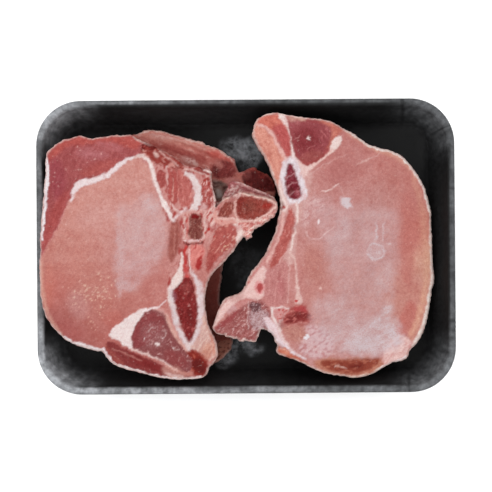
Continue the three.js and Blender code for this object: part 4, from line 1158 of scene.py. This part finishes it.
def tissue_relief(x, y, masks):
    """Height of the cut face's fine forms: muscle grain and swells, fat a little proud, marrow sunk and
    crumbly, and bone edges proud."""
    grain = 0.05 * noise(x, y, 1.1, 21) + 0.09 * noise(x, y, 3.1, 22) + 0.12 * noise(x, y, 7.5, 23)
    crumbs = 0.2 * noise(x, y, 1.3, 24) + 0.18 * noise(x, y, 2.6, 25)
    soft_parts = 0.16 * masks["fat"] + 0.22 * masks["cortex"]
    return grain + soft_parts + masks["marrow"] * (crumbs - 0.35) - 0.25


def chop(name, outline, rest, bones, tones, layers, frost, fringe):
    """One chop: its meat with a pocket for each bone, and the bones, all painted as one face. Its edge is the
    outline made a little ragged, with splinters where the saw tore it."""
    path = curve(place(outline, rest), True, 1.2)
    bone_paths = {bone: curve(place(points, rest), True, 1.0) for bone, points in bones.items()}
    ledge_path = curve(place(LEDGE_PX, rest), True, 2.0)
    torn_places = place([middle for middle, _ in SAW_TORN[name]], rest)
    torn_radii = [MM_PER_PIXEL * radius for _, radius in SAW_TORN[name]]

    def edge(x, y):
        torn = np.zeros(x.shape)
        for (cx, cy), radius in zip(torn_places, torn_radii):
            torn = np.maximum(torn, smoothstep(radius, 0.5 * radius, np.hypot(x - cx, y - cy)))
        ragged = 0.28 * noise(x, y, 1.7, 33) + 0.2 * noise(x, y, 4, 34) - 0.2
        splinters = torn * (0.75 * noise(x, y, 2.1, 42) + 0.3 * noise(x, y, 1.2, 43) - 0.15)
        return signed_distance(path, x, y, EDGE_REACH) + ragged + splinters

    def outward(x, y):
        tiny = 0.1
        slope_x = edge(x + tiny, y) - edge(x - tiny, y)
        slope_y = edge(x, y + tiny) - edge(x, y - tiny)
        length = np.maximum(np.hypot(slope_x, slope_y), 1e-6)
        return -slope_x / length, -slope_y / length

    def over(x, y):
        top = rest(x) + CHOP_THICKNESS - unevenness(x, y)
        return top - rounding(edge(x, y), TOP_ROUND)

    def under(x, y):
        bottom = np.maximum(rest(x), tray_at(x, y) + GAP)
        return bottom + rounding(edge(x, y), FOOT_ROUND)

    def ledge_over(x, y):
        """The left vertebra's top: cut down to a ledge where it was chopped off."""
        top = over(x, y)
        step = smoothstep(-0.5, 0.7, signed_distance(ledge_path, x, y, 4))
        low_top = UPPER_REST + LEDGE_HEIGHT + 0.5 * noise(x, y, 3, 41)
        return top + step * (np.minimum(low_top, top) - top)

    def meat(x, y):
        inside = edge(x, y)
        for bone_path in bone_paths.values():
            inside = np.minimum(inside, -signed_distance(bone_path, x, y, EDGE_REACH))
        return inside

    look = {"tones": tones, "layers": layers, "frost": frost, "fringe": fringe, "bare": BARE_EDGES[name],
            "edge": edge, "outward": outward, "box": (path.min(axis=0), path.max(axis=0))}
    pieces = [slab(f"{name}_meat_look", meat, over, under, look)]
    taken = []
    for bone, bone_path in bone_paths.items():

        def region(x, y):
            inside = np.minimum(edge(x, y), signed_distance(bone_path, x, y, EDGE_REACH) + BONE_OVERLAP)
            for other in taken:
                inside = np.minimum(inside, -signed_distance(other, x, y, EDGE_REACH) + BONE_OVERLAP)
            return inside

        bone_over = ledge_over if (name, bone) == ("left_chop", "vertebra") else over
        bone_look = {**look, "box": (bone_path.min(axis=0), bone_path.max(axis=0))}
        pieces.append(slab(f"{name}_{bone}_look", region, bone_over, under, bone_look))
        taken.append(bone_path)
    for piece, tissue_name in zip(pieces, ["meat", *bones]):
        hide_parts(f"{name}_{tissue_name}")
        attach(piece, "root")
    return pieces


# The tray

def tray_points(section, count):
    """The tray's surface as rings: each section point gives one ring, a rectangle with round corners
    whose straight sides carry evenly spread points."""
    half_x, half_y = TRAY_LENGTH / 2 - TRAY_CORNER, TRAY_WIDTH / 2 - TRAY_CORNER
    arc = math.pi / 2 * (TRAY_CORNER - 3)
    lengths = [half_y, arc, 2 * half_x, arc, 2 * half_y, arc, 2 * half_x, arc, half_y]
    stops = np.concatenate([[0], np.cumsum(lengths)])
    s = np.linspace(0, stops[-1], count, endpoint=False)
    part = np.clip(np.searchsorted(stops, s, side="right") - 1, 0, 8)
    along = (s - stops[part]) / np.array(lengths)[part]
    angle = np.where(part % 2 == 1, (part - 1) / 2 + along, part / 2) * math.pi / 2
    starts = np.array([(half_x, 0), (half_x, half_y), (half_x, half_y), (-half_x, half_y),
                       (-half_x, half_y), (-half_x, -half_y), (-half_x, -half_y), (half_x, -half_y),
                       (half_x, -half_y)])
    ends = np.array([(half_x, half_y), (half_x, half_y), (-half_x, half_y), (-half_x, half_y),
                     (-half_x, -half_y), (-half_x, -half_y), (half_x, -half_y), (half_x, -half_y),
                     (half_x, 0)])
    centre = starts[part] + (ends[part] - starts[part]) * along[:, None]
    direction = np.column_stack([np.cos(angle), np.sin(angle)])
    rings = []
    for inset, height in section:
        plan = centre + direction * (TRAY_CORNER - inset)
        rings.append(np.column_stack([plan, np.full(count, float(height))]))
    return np.array(rings), angle, part % 2 == 1


def foam_tone_with_painted_light(points, px, py):
    """Reflectance of the foam: black inside, with a painted grey sheen along the rim that is widest on the
    near side and fans out in the corners, crossed by a few dark creases of painted shade. The inner walls get
    a faint painted highlight, stronger to the left, and the floor gets painted shade."""
    x, y = points[:, 0], points[:, 1]
    inset = inset_at(x, y)
    near = smoothstep(0.3, 0.8, -2 * y / TRAY_WIDTH)
    far = smoothstep(0.3, 0.8, 2 * y / TRAY_WIDTH)
    left = smoothstep(0.6, 0.95, -2 * x / TRAY_LENGTH)
    right = smoothstep(0.6, 0.95, 2 * x / TRAY_LENGTH)
    patches = 1 + 0.5 * noise(px, py, 14, 63) + 0.35 * noise(px, py, 4, 64)

    # The rim's grey band is a painted sheen, wider and brighter on the near side and towards the left, broken
    # into patches
    width = 2.3 + 1.3 * near - 0.2 * far + (0.5 * right + 1.2 * left) * (1 - np.maximum(near, far))
    band = smoothstep(width + 0.5, width - 0.7, inset) * smoothstep(0, 0.5, inset)
    level = 0.042 + 0.022 * near + 0.082 * near * smoothstep(45, -20, x)
    level += 0.05 * far * smoothstep(10, -60, x) + 0.055 * left * (1 - far)
    band *= level * np.maximum(patches, 0.15)

    # A painted sheen fanning out round the corners, with radial streaks, brighter towards the left
    corner = smoothstep(-6, 20, np.abs(x) - TRAY_LENGTH / 2 + 30)
    corner *= smoothstep(-4, 20, np.abs(y) - TRAY_WIDTH / 2 + 30)
    radial = noise(np.arctan2(y, x) * 60, inset * 0.15, 1.2, 62)
    fan = smoothstep(15, 2.5, inset + 1.5 * noise(px, py, 6, 61)) ** 1.5
    fan *= (0.06 + 0.12 * smoothstep(20, -60, x) + 0.015 * near) * corner
    fan *= (1 + 0.5 * radial) * (0.75 + 0.25 * patches)

    tone = np.maximum(band, fan)
    for layer in TRAY_CREASE_SHADE:
        tone *= 1 - layer["strength"] * cover_of(layer, px, py)
    # The inner walls get a faint painted highlight, stronger to the left, and the floor is darkened as
    # painted shade
    wall = smoothstep(3, 5, inset) * smoothstep(14, 9, inset) * smoothstep(60, -60, x)
    black = FOAM_BLACK * (0.85 + 0.8 * wall - 0.4 * smoothstep(11, 17, inset))
    return (tone + black)[:, None] * FOAM_CAST


def tray_piece():
    """The foam tray: its section smoothed and carried round the rim, closed over the floor and the
    underside by rings that shrink to the middle, with shallow creases fanned round each corner."""
    section = np.array(OUTER_SECTION + INNER_SECTION, dtype=float)
    fine = curve(section, False, SECTION_STEP)
    fine[:, 1] = np.clip(fine[:, 1], 0, TRAY_HEIGHT)
    fine[:, 0] = np.maximum(fine[:, 0], 0)
    around = TRAY_AROUND
    rings, angle, in_corner = tray_points(fine, around)
    wall = smoothstep(4, 9, rings[..., 2]) * smoothstep(TRAY_HEIGHT, TRAY_HEIGHT - 3, rings[..., 2])
    fan = noise(angle * 40, np.zeros(around), 3, 51) * in_corner
    outward = np.column_stack([np.cos(angle), np.sin(angle)])
    rings[..., :2] += -0.22 * np.abs(fan)[None, :, None] * outward[None] * wall[..., None]
    shrink = np.linspace(1, 0.01, FLOOR_RINGS)[1:]
    floor = [np.column_stack([rings[-1][:, :2] * k, rings[-1][:, 2]]) for k in shrink]
    below = [np.column_stack([rings[0][:, :2] * k, rings[0][:, 2]]) for k in shrink[::-3]]
    rings = np.vstack([below, rings, floor])
    points = rings.reshape(-1, 3)
    i = np.arange(around)
    faces = []
    for row in range(len(rings) - 1):
        a, b = row * around + i, row * around + (i + 1) % around
        faces.append(np.column_stack([a, b, b + around, a + around]))
    faces = np.vstack(faces)
    half = around // 2
    caps = []
    for first, flip in ((0, True), (len(points) - around, False)):
        k = np.arange(half - 1)
        cap = np.column_stack([first + k, first + k + 1, first + around - 2 - k, first + around - 1 - k])
        caps.append(cap[:, ::-1] if flip else cap)
    faces = np.vstack([faces] + caps)
    px, py = pixels_of(points[:, 0], points[:, 1], points[:, 2])
    frost = np.zeros(len(points))
    ragged_x, ragged_y = px + 5 * noise(px, py, 12, 17), py + 5 * noise(px, py, 12, 18)
    for layer in FLOOR_FROST:
        frost += cover_of(layer, ragged_x, ragged_y) * layer["strength"]
    frost *= points[:, 2] > FOAM * 0.5
    piece = mesh_object("foam_tray", points, faces, foam_tone_with_painted_light(points, px, py), {"frost": frost}, "foam")
    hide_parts("tray")
    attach(piece, "root")
    return piece


# Materials

def add_node(tree, kind, **values):
    """A shader node with its settings, and its sockets set by name with spaces as underscores."""
    node = tree.nodes.new(kind)
    for key, value in values.items():
        if hasattr(node, key):
            setattr(node, key, value)
        else:
            node.inputs[key.replace("_", " ")].default_value = value
    return node


def flesh_group():
    """Raw tissue up close: grain and flecks over its painted colour, frost crystals on top, and the
    roughness and height that go with them."""
    group = bpy.data.node_groups.new("raw_tissue", "ShaderNodeTree")
    face = group.interface
    face.new_socket("Colour", in_out="INPUT", socket_type="NodeSocketColor")
    for name in ("Mottle", "Marrow", "Frost", "Fleck"):
        face.new_socket(name, in_out="INPUT", socket_type="NodeSocketFloat")
    face.new_socket("Colour", in_out="OUTPUT", socket_type="NodeSocketColor")
    face.new_socket("Roughness", in_out="OUTPUT", socket_type="NodeSocketFloat")
    face.new_socket("Height", in_out="OUTPUT", socket_type="NodeSocketFloat")
    link = group.links.new
    given = group.nodes.new("NodeGroupInput")
    out = group.nodes.new("NodeGroupOutput")
    place_in = group.nodes.new("ShaderNodeTexCoord")

    def noise_at(scale, detail, rough=0.6):
        node = add_node(group, "ShaderNodeTexNoise", Scale=scale, Detail=detail, Roughness=rough)
        link(place_in.outputs["Object"], node.inputs["Vector"])
        return node.outputs["Fac"]

    def maths(operation, a, b, clamp=False):
        node = add_node(group, "ShaderNodeMath", operation=operation, use_clamp=clamp)
        for socket, value in zip(node.inputs, (a, b)):
            if isinstance(value, (int, float)):
                socket.default_value = value
            else:
                link(value, socket)
        return node.outputs["Value"]

    def ramp(value, low, high, to_low, to_high):
        node = add_node(group, "ShaderNodeMapRange", From_Min=low, From_Max=high, To_Min=to_low,
                        To_Max=to_high)
        link(value, node.inputs["Value"])
        return node.outputs["Result"]

    def mixed(factor, first, second):
        node = add_node(group, "ShaderNodeMix", data_type="RGBA")
        link(factor, node.inputs["Factor"])
        for socket, value in ((node.inputs[6], first), (node.inputs[7], second)):
            if isinstance(value, tuple):
                socket.default_value = value
            else:
                link(value, socket)
        return node.outputs[2]

    fine, coarse = noise_at(1700, 2), noise_at(650, 3)
    fibres = noise_at(2600, 2)
    swing = maths("ADD", ramp(fine, 0, 1, -0.8, 0.8), ramp(coarse, 0, 1, -0.7, 0.7))
    swing = maths("MULTIPLY", swing, given.outputs["Mottle"])
    spread = add_node(group, "ShaderNodeVectorMath", operation="SCALE")
    spread.inputs[0].default_value = (0.85, 1.5, 1.5)
    link(swing, spread.inputs["Scale"])
    gain = add_node(group, "ShaderNodeVectorMath", operation="ADD")
    gain.inputs[1].default_value = (1, 1, 1)
    link(spread.outputs["Vector"], gain.inputs[0])
    scaled = add_node(group, "ShaderNodeVectorMath", operation="MULTIPLY")
    link(given.outputs["Colour"], scaled.inputs[0])
    link(gain.outputs["Vector"], scaled.inputs[1])
    flecks = maths("MULTIPLY", ramp(noise_at(700, 2), 0.64, 0.72, 0, 1), given.outputs["Fleck"], True)
    flecked = mixed(flecks, scaled.outputs["Vector"], (*linear(FLECK), 1))
    crystals = ramp(noise_at(1900, 3, 0.75), 0.35, 0.65, 0.35, 1.3)
    frost = maths("MULTIPLY", given.outputs["Frost"], crystals, True)
    frosted = mixed(frost, flecked, (*linear(FROST), 1))
    link(frosted, out.inputs["Colour"])
    wet = ramp(fine, 0.3, 0.7, 0.4, 0.55)
    rough = maths("ADD", wet, maths("MULTIPLY", given.outputs["Frost"], 0.25), True)
    link(rough, out.inputs["Roughness"])
    bumps = maths("ADD", maths("MULTIPLY", fine, 0.5), maths("MULTIPLY", fibres, 0.3))
    crumbs = maths("MULTIPLY", maths("MULTIPLY", noise_at(1100, 3, 0.7), given.outputs["Marrow"]), 1.4)
    icy = maths("MULTIPLY", maths("MULTIPLY", crystals, given.outputs["Frost"]), 0.5)
    link(maths("ADD", maths("ADD", bumps, crumbs), icy), out.inputs["Height"])
    return group


def flesh_material(name, group, fleck):
    """Raw tissue: the painted colour and masks through the shared group, with a moist surface."""
    material = bpy.data.materials.new(name)
    material.use_nodes = True
    tree = material.node_tree
    shader = tree.nodes["Principled BSDF"]
    tissue = tree.nodes.new("ShaderNodeGroup")
    tissue.node_tree = group
    link = tree.links.new
    painted = add_node(tree, "ShaderNodeAttribute", attribute_name="flesh")
    link(painted.outputs["Color"], tissue.inputs["Colour"])
    for mask, socket in (("mottle", "Mottle"), ("marrow", "Marrow"), ("frost", "Frost")):
        held = add_node(tree, "ShaderNodeAttribute", attribute_name=mask)
        link(held.outputs["Fac"], tissue.inputs[socket])
    tissue.inputs["Fleck"].default_value = fleck
    link(tissue.outputs["Colour"], shader.inputs["Base Color"])
    link(tissue.outputs["Roughness"], shader.inputs["Roughness"])
    bump = add_node(tree, "ShaderNodeBump", Strength=0.55, Distance=0.00025)
    link(tissue.outputs["Height"], bump.inputs["Height"])
    link(bump.outputs["Normal"], shader.inputs["Normal"])
    shader.inputs["Specular IOR Level"].default_value = 0.06
    shader.inputs["Subsurface Weight"].default_value = 0.06
    shader.inputs["Subsurface Radius"].default_value = (1, 0.35, 0.25)
    shader.inputs["Subsurface Scale"].default_value = 0.001
    return material


def foam_material():
    """Black foam: a closed skin of fine cells with a soft sheen, and frost dust on the floor. Its colour
    attribute carries the painted sheen of the rim and painted light and shade on the walls and floor.
    """
    material = bpy.data.materials.new("black_foam_skin")
    material.use_nodes = True
    tree = material.node_tree
    shader = tree.nodes["Principled BSDF"]
    link = tree.links.new
    place_in = tree.nodes.new("ShaderNodeTexCoord")
    cells = add_node(tree, "ShaderNodeTexVoronoi", Scale=1300)
    cloud = add_node(tree, "ShaderNodeTexNoise", Scale=420, Detail=4, Roughness=0.65)
    dust = add_node(tree, "ShaderNodeTexNoise", Scale=210, Detail=6, Roughness=0.72)
    for node in (cells, cloud, dust):
        link(place_in.outputs["Object"], node.inputs["Vector"])
    held = add_node(tree, "ShaderNodeAttribute", attribute_name="frost")
    flaky = add_node(tree, "ShaderNodeMapRange", From_Min=0.38, From_Max=0.66, To_Min=0.1, To_Max=1.5)
    link(dust.outputs["Fac"], flaky.inputs["Value"])
    frost = add_node(tree, "ShaderNodeMath", operation="MULTIPLY", use_clamp=True)
    link(held.outputs["Fac"], frost.inputs[0])
    link(flaky.outputs["Result"], frost.inputs[1])
    # The painted colour: black foam with the rim's painted sheen and the walls' and floor's painted light and
    # shade, made patchy by a noise
    painted = add_node(tree, "ShaderNodeAttribute", attribute_name="foam")
    patchy_tone_and_sheen = add_node(tree, "ShaderNodeMapRange", From_Min=0.3, From_Max=0.7, To_Min=0.6, To_Max=1.4)
    link(cloud.outputs["Fac"], patchy_tone_and_sheen.inputs["Value"])
    black = add_node(tree, "ShaderNodeVectorMath", operation="SCALE")
    link(painted.outputs["Color"], black.inputs[0])
    link(patchy_tone_and_sheen.outputs["Result"], black.inputs["Scale"])
    dusty = add_node(tree, "ShaderNodeMix", data_type="RGBA")
    dusty.inputs[7].default_value = DUST
    link(black.outputs["Vector"], dusty.inputs[6])
    link(frost.outputs["Value"], dusty.inputs["Factor"])
    link(dusty.outputs[2], shader.inputs["Base Color"])
    sheen = add_node(tree, "ShaderNodeMapRange", From_Min=0.3, From_Max=0.7, To_Min=0.5, To_Max=0.65)
    link(cloud.outputs["Fac"], sheen.inputs["Value"])
    link(sheen.outputs["Result"], shader.inputs["Roughness"])
    bump = add_node(tree, "ShaderNodeBump", Strength=0.35, Distance=0.00012)
    link(cells.outputs["Distance"], bump.inputs["Height"])
    link(bump.outputs["Normal"], shader.inputs["Normal"])
    shader.inputs["Specular IOR Level"].default_value = 0.12
    return material


# The stage: pale floor, four soft lights and the camera straight above

# Each light's name, azimuth and elevation in degrees, power in watts and side in metres
LIGHTS = [
    ("far_light", 100, 48, 8.2, 0.9),
    ("near_light", -80, 48, 5.2, 0.9),
    ("left_light", 185, 45, 4.4, 0.8),
    ("right_light", 5, 45, 4.4, 0.8),
]
LIGHT_REACH = 0.9


def stage():
    """A wide pale floor just under the tray."""
    mesh = bpy.data.meshes.new("floor")
    size = 2.0
    mesh.from_pydata([(-size, -size, 0), (size, -size, 0), (size, size, 0), (-size, size, 0)], [],
                     [(0, 1, 2, 3)])
    floor = bpy.data.objects.new("floor", mesh)
    bpy.context.scene.collection.objects.link(floor)
    material = bpy.data.materials.new("floor_paper")
    material.use_nodes = True
    shader = material.node_tree.nodes["Principled BSDF"]
    shader.inputs["Base Color"].default_value = (0.92, 0.92, 0.92, 1)
    shader.inputs["Roughness"].default_value = 0.9
    shader.inputs["Specular IOR Level"].default_value = 0.1
    mesh.materials.append(material)


def soft_light(name, azimuth, elevation, power, size):
    """A square light at LIGHT_REACH from the tray, turned to face it."""
    a, e = math.radians(azimuth), math.radians(elevation)
    light = bpy.data.lights.new(name, "AREA")
    light.energy = power
    light.size = size
    lamp = bpy.data.objects.new(name, light)
    lamp.location = (LIGHT_REACH * math.cos(e) * math.cos(a), LIGHT_REACH * math.cos(e) * math.sin(a),
                     LIGHT_REACH * math.sin(e))
    lamp.rotation_euler = (math.pi / 2 - e, 0, a + math.pi / 2)
    bpy.context.scene.collection.objects.link(lamp)


def pale_world():
    """Faint light from all round, and the plain view of colours."""
    world = bpy.data.worlds.new("studio")
    world.use_nodes = True
    world.node_tree.nodes["Background"].inputs["Color"].default_value = (0.95, 0.97, 1, 1)
    world.node_tree.nodes["Background"].inputs["Strength"].default_value = 0.4
    bpy.context.scene.world = world
    bpy.context.scene.view_settings.view_transform = "Standard"


def camera():
    """Straight above, rolled with the photograph; its lens makes one pixel MM_PER_PIXEL at the rim."""
    lens = bpy.data.cameras.new("camera")
    lens.sensor_width = 36
    distance = CAMERA_HEIGHT - TRAY_HEIGHT
    lens.lens = lens.sensor_width * distance / (PHOTO_SIZE * MM_PER_PIXEL)
    lens.clip_start = 0.01
    held = bpy.data.objects.new("camera", lens)
    off_middle = (PHOTO_SIZE / 2 - PHOTO_MIDDLE[0], PHOTO_MIDDLE[1] - PHOTO_SIZE / 2)
    held.location = (0.001 * MM_PER_PIXEL * off_middle[0], 0.001 * MM_PER_PIXEL * off_middle[1],
                     0.001 * CAMERA_HEIGHT)
    held.rotation_euler = (0, 0, -ROLL)
    bpy.context.scene.collection.objects.link(held)
    bpy.context.scene.camera = held


tissue = flesh_group()
upper_meat = flesh_material("chop_meat", tissue, fleck=0.16)
shaded_meat = flesh_material("lower_chop_meat", tissue, fleck=0.1)
sawn_bone = flesh_material("sawn_bone", tissue, fleck=0.16)

left = chop("left_chop", LEFT_CHOP_PX, left_rest,
            {"rib": LEFT_RIB_PX, "vertebra": LEFT_VERTEBRA_PX, "arch": LEFT_ARCH_PX,
             "rib_head": LEFT_RIB_HEAD_PX},
            LEFT_TONES_AND_SHADE, LEFT_LAYERS, LEFT_FROST, fringe=0.7)
lower = chop("lower_chop", LOWER_CHOP_PX, lower_rest,
             {"vertebra": LOWER_VERTEBRA_PX, "arch": LOWER_ARCH_PX},
             LOWER_TONES_AND_SHADE, LOWER_LAYERS, [], fringe=0.25)
right = chop("right_chop", RIGHT_CHOP_PX, right_rest,
             {"rib": RIGHT_RIB_PX, "vertebra": RIGHT_VERTEBRA_PX},
             RIGHT_TONES_AND_SHADE, RIGHT_LAYERS, RIGHT_FROST, fringe=0.9)
for chop_pieces, meat_look in ((left, upper_meat), (lower, shaded_meat), (right, upper_meat)):
    chop_pieces[0].data.materials.append(meat_look)
    for piece in chop_pieces[1:]:
        piece.data.materials.append(sawn_bone)
tray_piece().data.materials.append(foam_material())

stage()
for light in LIGHTS:
    soft_light(*light)
pale_world()
camera()
